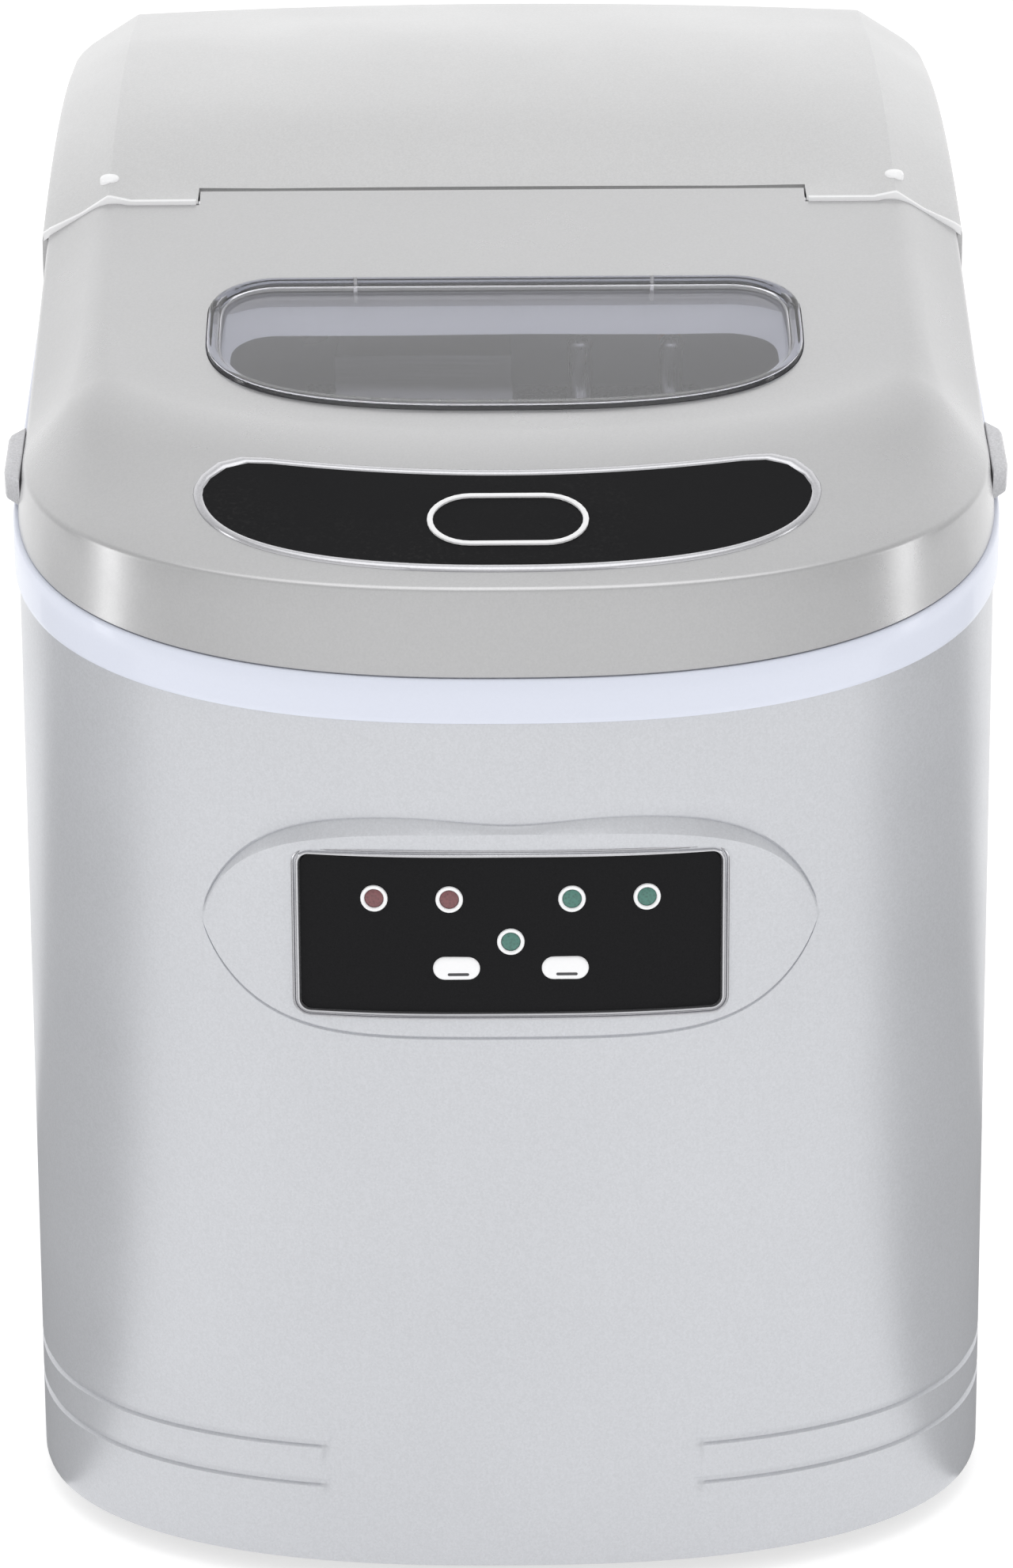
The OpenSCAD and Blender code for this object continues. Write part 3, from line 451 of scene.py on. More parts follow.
def make_handling_group():
    """Light handling: smears that change the gloss, and a little dust on level faces."""
    first = {"Roughness": 0.4, "Smear": 0.06, "Dust": 0.1}
    tree, given, out = new_group("handling", first, ["Roughness", "Dust"])
    coords = object_coords(tree)
    smear = ramp(tree, noise(tree, coords, 22.0, 6.0, 0.65), 0.35, 0.7, -1.0, 1.0)
    change = math_node(tree, "MULTIPLY", smear, given["Smear"])
    normal = add_node(tree, "ShaderNodeNewGeometry").outputs["Normal"]
    split = add_node(tree, "ShaderNodeSeparateXYZ", Vector=normal)
    level = ramp(tree, split.outputs["Z"], 0.75, 1.0)
    specks = ramp(tree, noise(tree, coords, 900.0, 2.0), 0.52, 0.72)
    patch = ramp(tree, noise(tree, coords, 14.0, 3.0), 0.4, 0.7)
    dust = math_node(tree, "MULTIPLY", math_node(tree, "MULTIPLY", specks, patch), level)
    feed(tree, out, Roughness=math_node(tree, "ADD", given["Roughness"], change))
    feed(tree, out, Dust=math_node(tree, "MULTIPLY", dust, given["Dust"]))
    return tree


def make_drawn_group():
    """Fine parallel lines left by drawing or rolling metal, along one axis."""
    first = {"Stretch": (40.0, 1500.0, 1500.0)}
    tree, given, out = new_group("drawn_lines", first, ["Height", "Mask"])
    scaled = add_node(tree, "ShaderNodeVectorMath", {"operation": "MULTIPLY"})
    plug(tree, scaled.inputs[0], object_coords(tree))
    plug(tree, scaled.inputs[1], given["Stretch"])
    lines = noise(tree, scaled.outputs[0], 1.0, 3.0)
    feed(tree, out, Height=lines, Mask=ramp(tree, lines, 0.3, 0.7))
    return tree


FLAKE = make_flake_group()
SKIN = make_skin_group()
HANDLING = make_handling_group()
DRAWN = make_drawn_group()


# ---- Materials ----


def new_material(name, **constants):
    """A material with its shader's plain constants set on the shader's own sockets."""
    material = bpy.data.materials.new(name)
    material.use_nodes = True
    tree = material.node_tree
    return material, tree, feed(tree, tree.nodes["Principled BSDF"], **constants)


def use_group(tree, group, **values):
    return add_node(tree, "ShaderNodeGroup", {"node_tree": group}, **values).outputs


def add_bump(tree, shader, height, distance, strength):
    bump = add_node(
        tree, "ShaderNodeBump", Strength=strength, Distance=distance, Height=height
    )
    feed(tree, shader, Normal=bump.outputs["Normal"])


def scaled_colour(colour, by):
    return tuple(min(1.0, c * by) for c in colour) + (1,)


def lacquered(name, colour, metallic, rough, flake=0.10, peel=1.0, coat=0.25, dust=0.08):
    """Silver lacquer over moulded plastic."""
    material, tree, shader = new_material(
        name, Metallic=metallic, Coat_Weight=coat, Coat_Roughness=0.22, IOR=1.5
    )
    tint = use_group(tree, FLAKE, Colour=(*colour, 1), Flake=flake, Flake_Scale=2400.0, Drift=0.025)
    wear = use_group(tree, HANDLING, Roughness=rough, Smear=0.035, Dust=dust)
    skin = use_group(tree, SKIN, Grain_Scale=2200.0, Grain=0.3, Peel_Scale=210.0, Peel=peel)
    base = blend_colour(tree, wear["Dust"], tint["Colour"], (0.72, 0.71, 0.69, 1))
    feed(tree, shader, Base_Color=base, Roughness=wear["Roughness"])
    add_bump(tree, shader, skin["Height"], 0.00005, 0.35)
    return material


def moulded(name, colour, rough, grain=1.0, grain_scale=1500.0, tone=0.06, **constants):
    """Plain moulded plastic with a fine grain and a slight change of tone."""
    material, tree, shader = new_material(name, **constants)
    wear = use_group(tree, HANDLING, Roughness=rough, Smear=0.05, Dust=0.04)
    skin = use_group(tree, SKIN, Grain_Scale=grain_scale, Grain=grain, Peel_Scale=120.0, Peel=0.6)
    dark, light = scaled_colour(colour, 1 - tone), scaled_colour(colour, 1 + tone)
    toned = blend_colour(tree, skin["Mask"], dark, light)
    base = blend_colour(tree, wear["Dust"], toned, (0.5, 0.49, 0.47, 1))
    feed(tree, shader, Base_Color=base, Roughness=wear["Roughness"])
    add_bump(tree, shader, skin["Height"], 0.00006, 0.4)
    return material


def drawn_metal(name, colour, rough, stretch=(40.0, 1500.0, 1500.0)):
    """Bare metal with fine drawing lines."""
    material, tree, shader = new_material(name, Metallic=1.0)
    lines = use_group(tree, DRAWN, Stretch=stretch)
    base = blend_colour(tree, lines["Mask"], scaled_colour(colour, 0.88), (*colour, 1))
    gloss = ramp(tree, lines["Mask"], 0.0, 1.0, rough * 0.8, rough * 1.2)
    feed(tree, shader, Base_Color=base, Roughness=gloss)
    add_bump(tree, shader, lines["Height"], 0.00003, 0.3)
    return material


def tinted_clear(name, colour, rough):
    """Clear smoke plastic with faint flow marks."""
    material, tree, shader = new_material(
        name, Transmission_Weight=0.98, IOR=1.49, Specular_IOR_Level=0.3
    )
    wear = use_group(tree, HANDLING, Roughness=rough, Smear=0.02, Dust=0.03)
    skin = use_group(tree, SKIN, Grain_Scale=700.0, Grain=0.1, Peel_Scale=60.0, Peel=1.0)
    base = blend_colour(tree, skin["Mask"], scaled_colour(colour, 0.96), (*colour, 1))
    feed(tree, shader, Base_Color=base, Roughness=wear["Roughness"])
    add_bump(tree, shader, skin["Height"], 0.00003, 0.15)
    return material


def lens(name, colour, glow):
    """Tinted lamp lens: darker at its middle, with a moulded pattern."""
    material, tree, shader = new_material(
        name, Coat_Weight=0.6, Coat_Roughness=0.08, IOR=1.5, Emission_Strength=glow
    )
    depth = cells_of(tree, 1500.0)["Distance"]
    spread = ramp(tree, depth, 0.0, 0.7)
    base = blend_colour(tree, spread, scaled_colour(colour, 0.6), (*colour, 1))
    gloss = ramp(tree, depth, 0.0, 1.0, 0.25, 0.4)
    feed(tree, shader, Base_Color=base, Emission_Color=base, Roughness=gloss)
    add_bump(tree, shader, depth, 0.0001, 0.4)
    return material


def printed_board(name):
    """Green solder mask with paler tracks and tinned pads."""
    material, tree, shader = new_material(name, Roughness=0.35, Coat_Weight=0.3)
    tracks = add_node(
        tree, "ShaderNodeTexBrick", Vector=object_coords(tree), Scale=160.0, Mortar_Size=0.02,
        Color1=(0.015, 0.10, 0.04, 1), Color2=(0.02, 0.14, 0.06, 1), Mortar=(0.05, 0.25, 0.11, 1)
    )
    pad = ramp(tree, cells_of(tree, 420.0)["Distance"], 0.22, 0.18)
    base = blend_colour(tree, pad, tracks.outputs["Color"], (0.55, 0.55, 0.5, 1))
    feed(tree, shader, Base_Color=base, Metallic=pad)
    add_bump(tree, shader, pad, 0.00008, 0.5)
    return material


def bead_foam(name):
    """Pale foam with its beads showing."""
    material, tree, shader = new_material(name)
    edge = ramp(tree, cells_of(tree, 330.0)["Distance"], 0.1, 0.8)
    base = blend_colour(tree, edge, (0.80, 0.79, 0.72, 1), (0.60, 0.58, 0.50, 1))
    feed(tree, shader, Base_Color=base, Roughness=ramp(tree, edge, 0.0, 1.0, 0.8, 0.95))
    add_bump(tree, shader, math_node(tree, "SUBTRACT", 1.0, edge), 0.0005, 0.6)
    return material


SILVER = lacquered("casing_silver", (0.57, 0.58, 0.608), 0.45, 0.38, 0.045)
LID_SILVER = lacquered("lid_silver", (0.50, 0.50, 0.505), 0.70, 0.30, 0.03, 0.5, 0.25, 0.0)
COVER_SILVER = lacquered("cover_silver", (0.585, 0.585, 0.588), 0.40, 0.42, 0.04, 1.0, 0.25, 0.02)
TRIM_SILVER = lacquered("trim_silver", (0.52, 0.52, 0.54), 0.9, 0.24, 0.04, 0.4, 0.4, 0.0)
GRIP_GREY = lacquered("grip_grey", (0.58, 0.58, 0.60), 0.30, 0.45)
RING_WHITE = moulded("ring_white", (0.70, 0.73, 0.83), 0.32, 0.4, 1500.0, 0.02, Coat_Weight=0.3)
# Painted shade: the tank and the white plastic parts inside the machine get a dark grey that stands in
# for the shade under the lid.
TANK_SHADE_GREY = moulded("tank_painted_shade_grey", (0.30, 0.31, 0.34), 0.35, 0.5, 1200.0, 0.03)
# Painted shade: the white panel under the lid is drawn light grey for the shade in the window's well.
WELL_SHADE_GREY = moulded("well_painted_shade_grey", (0.60, 0.60, 0.65), 0.35, 0.4, 1200.0, 0.03)
# Painted light: the lip glows faintly with an emission, as if lit, though it is no lamp.
LIP_GLOW_WHITE = moulded(
    "lip_white_painted_glow", (0.86, 0.88, 0.94), 0.3, 0.4, 1200.0, 0.02, Emission_Color=(0.8, 0.85, 0.97, 1),
    Emission_Strength=0.10
)
CAP_WHITE = moulded("cap_white", (0.93, 0.93, 0.94), 0.3, 0.4, 1600.0, 0.02, Coat_Weight=0.3)
GLOSS_BLACK = moulded(
    "badge_black", (0.012, 0.012, 0.013), 0.3, 0.3, 2500.0, 0.2, Specular_IOR_Level=0.03
)
PANEL_BLACK = moulded(
    "panel_black", (0.013, 0.013, 0.014), 0.4, 0.8, 2600.0, 0.25, Specular_IOR_Level=0.05
)
DARK = moulded("dark_plastic", (0.055, 0.055, 0.06), 0.5)
RUBBER = moulded("foot_rubber", (0.03, 0.03, 0.03), 0.75, 1.4, 900.0, 0.2)
HOSE = moulded("hose_silicone", (0.68, 0.69, 0.70), 0.35, 0.3, 700.0, 0.03, Transmission_Weight=0.4)
TRAY = moulded("tray_plastic", (0.42, 0.45, 0.50), 0.25, 0.3, 900.0, 0.03, Transmission_Weight=0.35)
ENAMEL = moulded("black_enamel", (0.022, 0.022, 0.024), 0.25, 0.4, 700.0, 0.15, Coat_Weight=0.6)
WINDOW = tinted_clear("smoke_window", (0.84, 0.84, 0.89), 0.03)
RED_LENS = lens("red_lens", (0.17, 0.050, 0.055), 0.1)
GREEN_LENS = lens("green_lens", (0.045, 0.17, 0.135), 0.1)
ZINC = drawn_metal("zinc_steel", (0.55, 0.55, 0.57), 0.35)
BRIGHT = drawn_metal("bright_steel", (0.72, 0.72, 0.74), 0.15)
TINNED = drawn_metal("tinned_copper", (0.66, 0.66, 0.68), 0.3, (900.0, 900.0, 60.0))
FINS = drawn_metal("fin_aluminium", (0.70, 0.71, 0.72), 0.3, (1200.0, 1200.0, 50.0))
COPPER = drawn_metal("drawn_copper", (0.66, 0.33, 0.20), 0.28, (900.0, 60.0, 900.0))
FOAM = bead_foam("bead_foam")
BOARD = printed_board("circuit_board")

FINISH_OF_SLOT = {
    "silver_plastic": SILVER,
    "grey_plastic": GRIP_GREY,
    "bezel_silver": TRIM_SILVER,
    "gloss_black": GLOSS_BLACK,
    # The white plastic parts take the dark grey of painted shade.
    "white_plastic": TANK_SHADE_GREY,
    "tray_plastic": TRAY,
    "clear_window": WINDOW,
    "dark_plastic": DARK,
    "foam": FOAM,
    "red_lens": RED_LENS,
    "green_lens": GREEN_LENS,
    "foot_rubber": RUBBER,
    "hose_rubber": HOSE,
    "screw_steel": ZINC,
    "bright_steel": BRIGHT,
    "tinned_metal": TINNED,
    "black_enamel": ENAMEL,
    "fin_aluminium": FINS,
    "copper": COPPER,
    "circuit_board": BOARD,
}


def dress_cad_nodes():
    """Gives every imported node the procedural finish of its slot."""
    for row in frame["record"]["subparts"]:
        node = frame["nodes"][row["node"]]
        material = FINISH_OF_SLOT[row["material_slot"]]
        if not node.material_slots:
            node.data.materials.append(material)
        for held in node.material_slots:
            held.material = material


# ---- Casing ----


def brow_edge(x, half, high, root):
    """Half height of the eye-shaped brow at a distance from the middle."""
    u = min(1.0, abs(x) / half)
    return high * (1 - u ** 5.0) ** root


def brow_levels(x):
    """Lower edge, crisp upper edge, and upper edge of the brow's ledge."""
    low = BROW_Z - max(0.9, brow_edge(x, BROW_HALF, 26.8, 0.714))
    crisp = BROW_Z + max(0.3, brow_edge(x, 71.6, 23.3, 0.667))
    dip = 1.9 * math.exp(-((x / 17) ** 2))
    high = BROW_Z + max(0.9, brow_edge(x, BROW_HALF, 27.0, 0.714) - dip)
    return low, crisp, high


def brow_proud(x):
    """How far the brow's upper edge stands out from the bow."""
    x = abs(x)
    grow = 1.12 + 1.45 * min(1.0, x / BROW_PEAK) ** 2
    fall = max(0.0, 1 - (max(0.0, x - BROW_PEAK) / (BROW_HALF - BROW_PEAK)) ** 2.0)
    return grow * fall


def casing_columns():
    """Plan points round the casing, from the middle of its front."""
    xs = [3.0 * k for k in range(14)]
    xs += [41, 43, 44, 45, 46.5, PANEL_OPENING_HALF, 50.8]
    xs += [52 + 1.25 * k for k in range(17)] + [71.5, BROW_HALF]
    right = [(x, bow_back(x)) for x in sorted(set(xs))]
    first = math.degrees(math.acos((73.6 / HALF_W) ** (BOW_N / 2)))
    for k in range(21):
        right.append(bow_point(360 - first * (1 - k / 20), HALF_W, 0, BOW_DEPTH, BOW_N))
    right += [(HALF_W, y) for y in (96, 102, 109, GROOVE_END_Y, 122, 140, 162, 184, 204)]
    right += [(HALF_W, y) for y in (VENT_FROM, 246, 268, 290, VENT_TO, 320, BODY_D - BACK_R)]
    right += arc(HALF_W - BACK_R, BODY_D - BACK_R, BACK_R, 0, 8)[1:]
    right += [(x, BODY_D) for x in (BACK_OPENING_HALF, 80, 50, 20, 0)]
    left = [(-x, y) for x, y in right[1:-1]]
    return right + left[::-1]


def plan_normals(points, wrap=True):
    """Outward direction of a plan outline at each of its points."""
    normals = []
    n = len(points)
    for i, here in enumerate(points):
        a = points[(i - 1) % n] if wrap or i > 0 else here
        b = points[(i + 1) % n] if wrap or i < n - 1 else here
        d = Vector((b[0] - a[0], b[1] - a[1]))
        d.normalize()
        normals.append((d.y, -d.x))
    return normals


LOW_LEVELS = [5.0, 5.4, 6.2, 8, 17, 21, 24.5, 25.1, 26.4, 26.6, 34.5, 35.1, 36.4, 36.6, 45, 54]
VENT_LEVELS = [62.0 + 5 * (k // 2) * 2 + 4 * (k % 2) for k in range(16)]
SIDE_LEVELS = [139, 142, 146, 148.5, 152, 156, 160, 164, 168, 172, 176, 180, 184, 188, 192, 196]
GROOVE_ROWS = (7, 8, 11, 12)
FIRST_VENT_ROW = len(LOW_LEVELS)
FIRST_BROW_ROW = FIRST_VENT_ROW + len(VENT_LEVELS)

# Rows of the brow, counted from its first: 1 and 14 are its sunk seams, 2 to 12 its face, and
# 13 its ledge.
BROW_SEAMS = (1, 14)
BROW_FACE_TOP = 12


def brow_rows(x):
    """Heights of the rows across the brow, which keep to the panel's opening in its middle."""
    low, crisp, high = brow_levels(x)
    floor, ceiling = low + 0.5, crisp - 0.45
    near = smooth((abs(x) - PANEL_OPENING_HALF) / 6)
    rows = [low - 0.35, low, floor]
    for k in range(8):
        t = k / 7
        level = mix(PANEL_Z - PANEL_H / 2, PANEL_Z + PANEL_H / 2, t)
        rows.append(mix(level, mix(floor, ceiling, mix(0.06, 0.88, t)), near))
    rows += [ceiling, crisp, mix(crisp, high, 0.5), high, high + 0.6]
    for k in range(1, len(rows)):
        rows[k] = max(rows[k], rows[k - 1] + 0.02)
    return rows


def brow_outset(x, row):
    """Outset of each row of the brow: flush at the bottom, and a sloped ledge at the top."""
    low, crisp, _ = brow_levels(x)
    proud = brow_proud(x)
    level = brow_rows(x)[row]
    if row == 0:
        return 0.0
    if row in BROW_SEAMS:
        return -0.4 * min(1.0, max(0.0, BROW_HALF - abs(x)) / 1.5)
    if row <= BROW_FACE_TOP and proud > 0:
        plain = 0.12 + (proud - 0.12) * (level - low) / max(0.1, crisp - low)
        lip = min(BROW_LIP, crisp - 3.5)
        flat = 0.1 + 0.45 * (level - low) / max(0.1, lip - low)
        if level > lip:
            flat = mix(0.55, proud, (level - lip) / (crisp - lip))
        return mix(flat, plain, smooth((abs(x) - 46) / 22))
    return proud * 0.5 if row == BROW_FACE_TOP + 1 else 0.0


def casing_levels(x, y, in_front):
    """Heights of one column of the casing, from its foot to the ring."""
    front = brow_rows(x) if in_front else SIDE_LEVELS
    away = smooth((abs(x) - BROW_HALF - 1) / 22) if in_front else 1.0
    middle = [mix(a, b, away) for a, b in zip(front, SIDE_LEVELS)]
    top = ring_low(y) - 0.1
    upper = [mix(middle[-1], top, t) for t in (0.25, 0.5, 0.75, 0.97, 1.0)]
    return LOW_LEVELS + VENT_LEVELS + middle + upper


def casing_inset(x, y, row, in_front):
    """How far a point of the casing lies in from the plain outline."""
    if row == 0:
        return 0.9
    if row == 1:
        return 0.25
    if row in GROOVE_ROWS and y < GROOVE_END_Y:
        return 0.8 * smooth((abs(x) - GROOVE_START + 0.6) / 3.2)
    brow_row = row - FIRST_BROW_ROW
    if in_front and abs(x) < BROW_HALF + 1 and 0 <= brow_row < len(SIDE_LEVELS):
        return -brow_outset(x, brow_row)
    return 0.0


def build_casing():
    """Casing with its brow, grooves and side vents, open for the panel and at the back."""
    columns = casing_columns()
    normals = plan_normals(columns)
    rows, cols = len(casing_levels(0, 0, True)), len(columns)
    points = []
    fronts = [y < BOW_DEPTH - 0.01 for _, y in columns]
    levels = [casing_levels(x, y, f) for (x, y), f in zip(columns, fronts)]
    for r in range(rows):
        for (x, y), (nx, ny), front, column in zip(columns, normals, fronts, levels):
            d = casing_inset(x, y, r, front)
            points.append(place(x - nx * d, y - ny * d, column[r]))
    vent_rows = {FIRST_VENT_ROW + 2 * k for k in range(8)}
    vent_rows |= {FIRST_BROW_ROW + 1, FIRST_BROW_ROW + 4}

    def skip(r, c):
        d = (c + 1) % cols
        (xa, ya), (xb, yb) = columns[c], columns[d]
        widest = max(abs(xa), abs(xb)) - 0.01
        in_window = widest <= PANEL_OPENING_HALF and fronts[c] and fronts[d]
        if in_window and 3 <= r - FIRST_BROW_ROW < 10:
            return True
        on_side = min(ya, yb) >= VENT_FROM - 0.1 and max(ya, yb) <= VENT_TO + 0.1
        if on_side and r in vent_rows:
            return True
        at_back = min(ya, yb) > BODY_D - 0.01 and widest <= BACK_OPENING_HALF
        return at_back and r >= 4

    obj = make_object("casing_shell", points, grid_faces(rows, cols, True, skip))
    face_away(obj, (0, BODY_D / 2, 120))
    thicken(obj, WALL)
    return finish_piece(obj, "casing", SILVER, ["outer_shell"], 38)


# ---- Ring and tank ----


def outline(half, start, turn, back, n, steps=96, sides=8):
    """Plan points from the left back corner round the front to the right back corner."""
    left = [(-half, mix(back, turn, k / sides)) for k in range(sides)]
    bow = [bow_point(180 + 180 * i / steps, half, start, turn, n) for i in range(steps + 1)]
    right = [(half, y) for _, y in reversed(left)]
    return left + bow + right


def build_ring():
    """White ring between casing and lid, with a rounded face and a level upper lip."""
    base = outline(HALF_W, 0, BOW_DEPTH, SPLIT_Y, BOW_N)
    normals = plan_normals(base, False)
    profile = [
        (WALL, 0.0, 0), (-0.2, 0.0, 0), (-0.8, 0.15, 0), (-1.15, 0.7, 0), (-RING_PROUD, 1.6, 0),
        (-RING_PROUD, 0.5, 1), (-1.15, -0.7, 2), (-0.95, -0.25, 2), (-0.6, -0.03, 2), (0.0, 0.0, 2),
        (7.5, 0.0, 2), (12.6, 0.0, 2), (13.4, -0.4, 2), (13.5, -1.0, 2), (13.5, -2.5, 2),
        (WALL, -2.5, 2),
    ]
    loops = []
    for inset, dz, zone in profile:
        loop = []
        for (x, y), (nx, ny) in zip(base, normals):
            low, high = ring_low(y), ring_high(y)
            z = {0: low, 1: (low + high) / 2, 2: high}[zone] + dz
            loop.append(place(x - nx * inset, y - ny * inset, z))
        loops.append(loop)
    loops.append(list(loops[0]))
    cols = len(base)
    points = [p for loop in loops for p in loop]
    faces = grid_faces(len(loops), cols)
    ring = len(profile)
    faces.append(tuple(k * cols for k in range(ring)))
    faces.append(tuple(k * cols + cols - 1 for k in range(ring)))
    obj = make_object("white_ring", points, faces)
    return finish_piece(obj, "casing", RING_WHITE, ["tank_liner"], 40)


def tank_outline(inset):
    """Plan of the water tank, bowed at the front, at a distance in from its outside."""
    half = HALF_W - 11 - inset
    back = 206 - inset
    r = max(1.0, 8.0 - inset)
    front = [bow_point(180 + 3.75 * i, half, 22 + inset, BOW_DEPTH, BOW_N) for i in range(49)]
    right = arc(half - r, back - r, r, 0, 6)
    return front + right + arc(r - half, back - r, r, 90, 6)


def build_tank():
    """Water tank under the ring: wall, coved floor, and the ledges under the basket."""
    rows = [
        (0.0, "top"), (2.5, "top"), (2.5, 180), (2.5, 120), (2.5, 60), (3.2, 49), (5.0, 46.2),
        (8.0, 45), (60.0, 45), (60.0, 42.5), (4.0, 42.5), (0.6, 44), (0.0, 48), (0.0, 120), (0.0, "top"),
    ]
    loops = []
    for inset, level in rows:
        loop = []
        for x, y in tank_outline(min(inset, 8.0)):
            if inset > 8:
                x, y = x * 0.3, 110 + (y - 110) * 0.3
            z = ring_high(y) - 2.6 if level == "top" else level
            loop.append(place(x, y, z))
        loops.append(loop)
    points = [p for loop in loops for p in loop]
    cols = len(loops[0])
    floor = 8
    faces = grid_faces(len(loops), cols, True, lambda r, c: r == floor)
    faces += shifted(end_faces(2, cols), floor * cols)
    obj = make_object("water_tank", points, faces)
    # The tank's white plastic is drawn in the dark grey of painted shade.
    return finish_piece(obj, "casing", TANK_SHADE_GREY, [], 40)


# ---- Lid ----


def lid_lines():
    """Foot, crease, crest and inner line of the lid, point by point round the front."""
    foot = outline(HALF_W, 0, BOW_DEPTH, SPLIT_Y, BOW_N)
    edge = outline(HALF_W - 1.5, 3.8, BOW_DEPTH, SPLIT_Y, BOW_N)
    crest = outline(FOLD_X, CREST_Y, CREST_TURN, SPLIT_Y, 2)
    inward = plan_normals(crest, False)
    lines = []
    for a, b, c, (nx, ny) in zip(foot, edge, crest, inward):
        soft = mix(5.0, 12.0, smooth((CREST_TURN + 20 - c[1]) / 40))
        ridge = 0.9 + 0.4 * smooth((c[1] - CREST_TURN) / 60)
        inner = (c[0] - nx * soft, min(SPLIT_Y, c[1] - ny * soft))
        lines.append((
            Vector((a[0], a[1], ring_high(a[1]) + 0.1)),
            Vector((b[0], b[1], crease(b[1]))),
            Vector((c[0], c[1], top_z(c[1]) + ridge)),
            Vector((inner[0], inner[1], top_z(inner[1]))),
            soft,
        ))
    return lines


def bend(a, b, c, t):
    """A point of the curve from a to c that leans towards b."""
    return a * (1 - t) ** 2 + b * 2 * t * (1 - t) + c * t * t


def lid_section(foot, edge, crest, inner, soft):
    """One line up the lid, from its foot over the crease and the crest to the flat top."""
    rise = (edge - foot).normalized()
    slope = (crest - edge).normalized()
    side = min(soft, (crest - edge).length * 0.42)
    under, over = edge - rise * 1.3, edge + slope * 1.3
    before = crest - slope * side
    outward = Vector((foot.x, foot.y - 90, 0)).normalized()
    line = [foot - outward * 0.3, foot + rise * 0.3]
    line += [foot.lerp(under, t) for t in (0.15, 0.4, 0.7)]
    line += [bend(under, edge, over, t / 5) for t in range(6)]
    line += [over.lerp(before, t) for t in (0.2, 0.4, 0.6, 0.8)]
    line += [bend(before, crest, inner, t / 12) for t in range(13)]
    return line


def window_outline(grow, steps=48):
    """The window's outline on the lid's slope, seen square on. The origin is at the split."""
    back = -(SPLIT_Y - 143) / math.cos(LID_ANGLE) + grow
    half = 73 + grow
    front = back - 68 - 2 * grow
    loop = [bow_point(180 + 180 * i / steps, half, front, back - 30, 2.7) for i in range(steps + 1)]
    r = 17 + grow
    return loop + arc(half - r, back - r, r, 0, 10) + arc(r - half, back - r, r, 90, 10)


def on_lid(x, y, h):
    """A point on the lid's flat top, given along the slope from the split and square above it."""
    c, s = math.cos(LID_ANGLE), math.sin(LID_ANGLE)
    return place(x, SPLIT_Y + y * c - h * s, SPLIT_TOP + y * s + h * c)


def window_loops(profile):
    """The window's outline at each (growth, height) of a profile."""
    return [[on_lid(x, y, h) for x, y in window_outline(g)] for g, h in profile]


def lid_top_faces(inner, start):
    """Flat top between the crest, the window's opening and the tongue."""
    nose_y = HINGE_Y - HINGE_R * math.sin(LID_ANGLE) + 1.3 * math.cos(LID_ANGLE)
    back = [(96, SPLIT_Y), (TONGUE_HALF, SPLIT_Y), (TONGUE_HALF, nose_y)]
    back += [(-x, y) for x, y in reversed(back)]
    rim = [(p.x, p.y) for p in inner]
    ring = [Vector((x, y, 0)) for x, y in rim + back[1:-1]]
    hole = []
    for x, y in window_outline(0.3):
        hole.append(Vector((x, SPLIT_Y + y * math.cos(LID_ANGLE), 0)))
    flat = ring + hole
    faces = shifted(tessellate_polygon([ring, hole]), start)
    return [place(p.x, p.y, top_z(p.y)) for p in flat], faces


def tongue_faces(start):
    """Round nose of the tongue that turns about the hinge pins."""
    points, faces = [], []
    for k in range(9):
        a = LID_ANGLE + math.radians(mix(70, -60, k / 8))
        y = HINGE_Y + 3.82 * math.cos(a)
        z = HINGE_Z + 3.82 * math.sin(a)
        points += [place(-TONGUE_HALF, y, z), place(TONGUE_HALF, y, z)]
    for k in range(8):
        i = start + 2 * k
        faces.append((i, i + 1, i + 3, i + 2))
    return points, faces


def build_lid():
    """Lid shell from foot to flat top, with its tongue. Returns its outside, for the badge."""
    lines = lid_lines()
    sections = [lid_section(*line) for line in lines]
    rows, cols = len(sections[0]), len(sections)
    points = [place(*sections[c][r]) for r in range(rows) for c in range(cols)]
    faces = grid_faces(rows, cols)
    flat, flat_faces = lid_top_faces([line[3] for line in lines], len(points))
    points += flat
    faces += flat_faces
    nose, nose_faces = tongue_faces(len(points))
    points += nose
    faces += nose_faces
    obj = make_object("lid_top", points, faces, 3e-6)
    face_away(obj, (0, 110, 235))
    surface = BVHTree.FromPolygons(
        [v.co.copy() for v in obj.data.vertices], [tuple(f.vertices) for f in obj.data.polygons]
    )
    thicken(obj, 2.2, False)
    finish_piece(obj, "lid", LID_SILVER, ["lid_shell"], 32)
    return surface


def build_window():
    """Clear plate with a raised double rim, and the flange that holds it under the lid."""
    outside = [
        (-4.6, 0.45), (-3.6, 0.5), (-3.0, 0.9), (-2.5, 1.15), (-1.0, 1.2), (-0.35, 1.1), (-0.02, 0.7),
        (-0.02, -2.6), (0.0, -2.85), (2.5, -2.85), (2.5, -4.3), (-0.4, -4.3), (-0.9, -3.9),
        (-1.2, -2.5), (-4.6, -2.3),
    ]
    obj = loft("smoke_window", window_loops(outside), 2)
    return finish_piece(obj, "lid", WINDOW, ["lid_window"], 50)


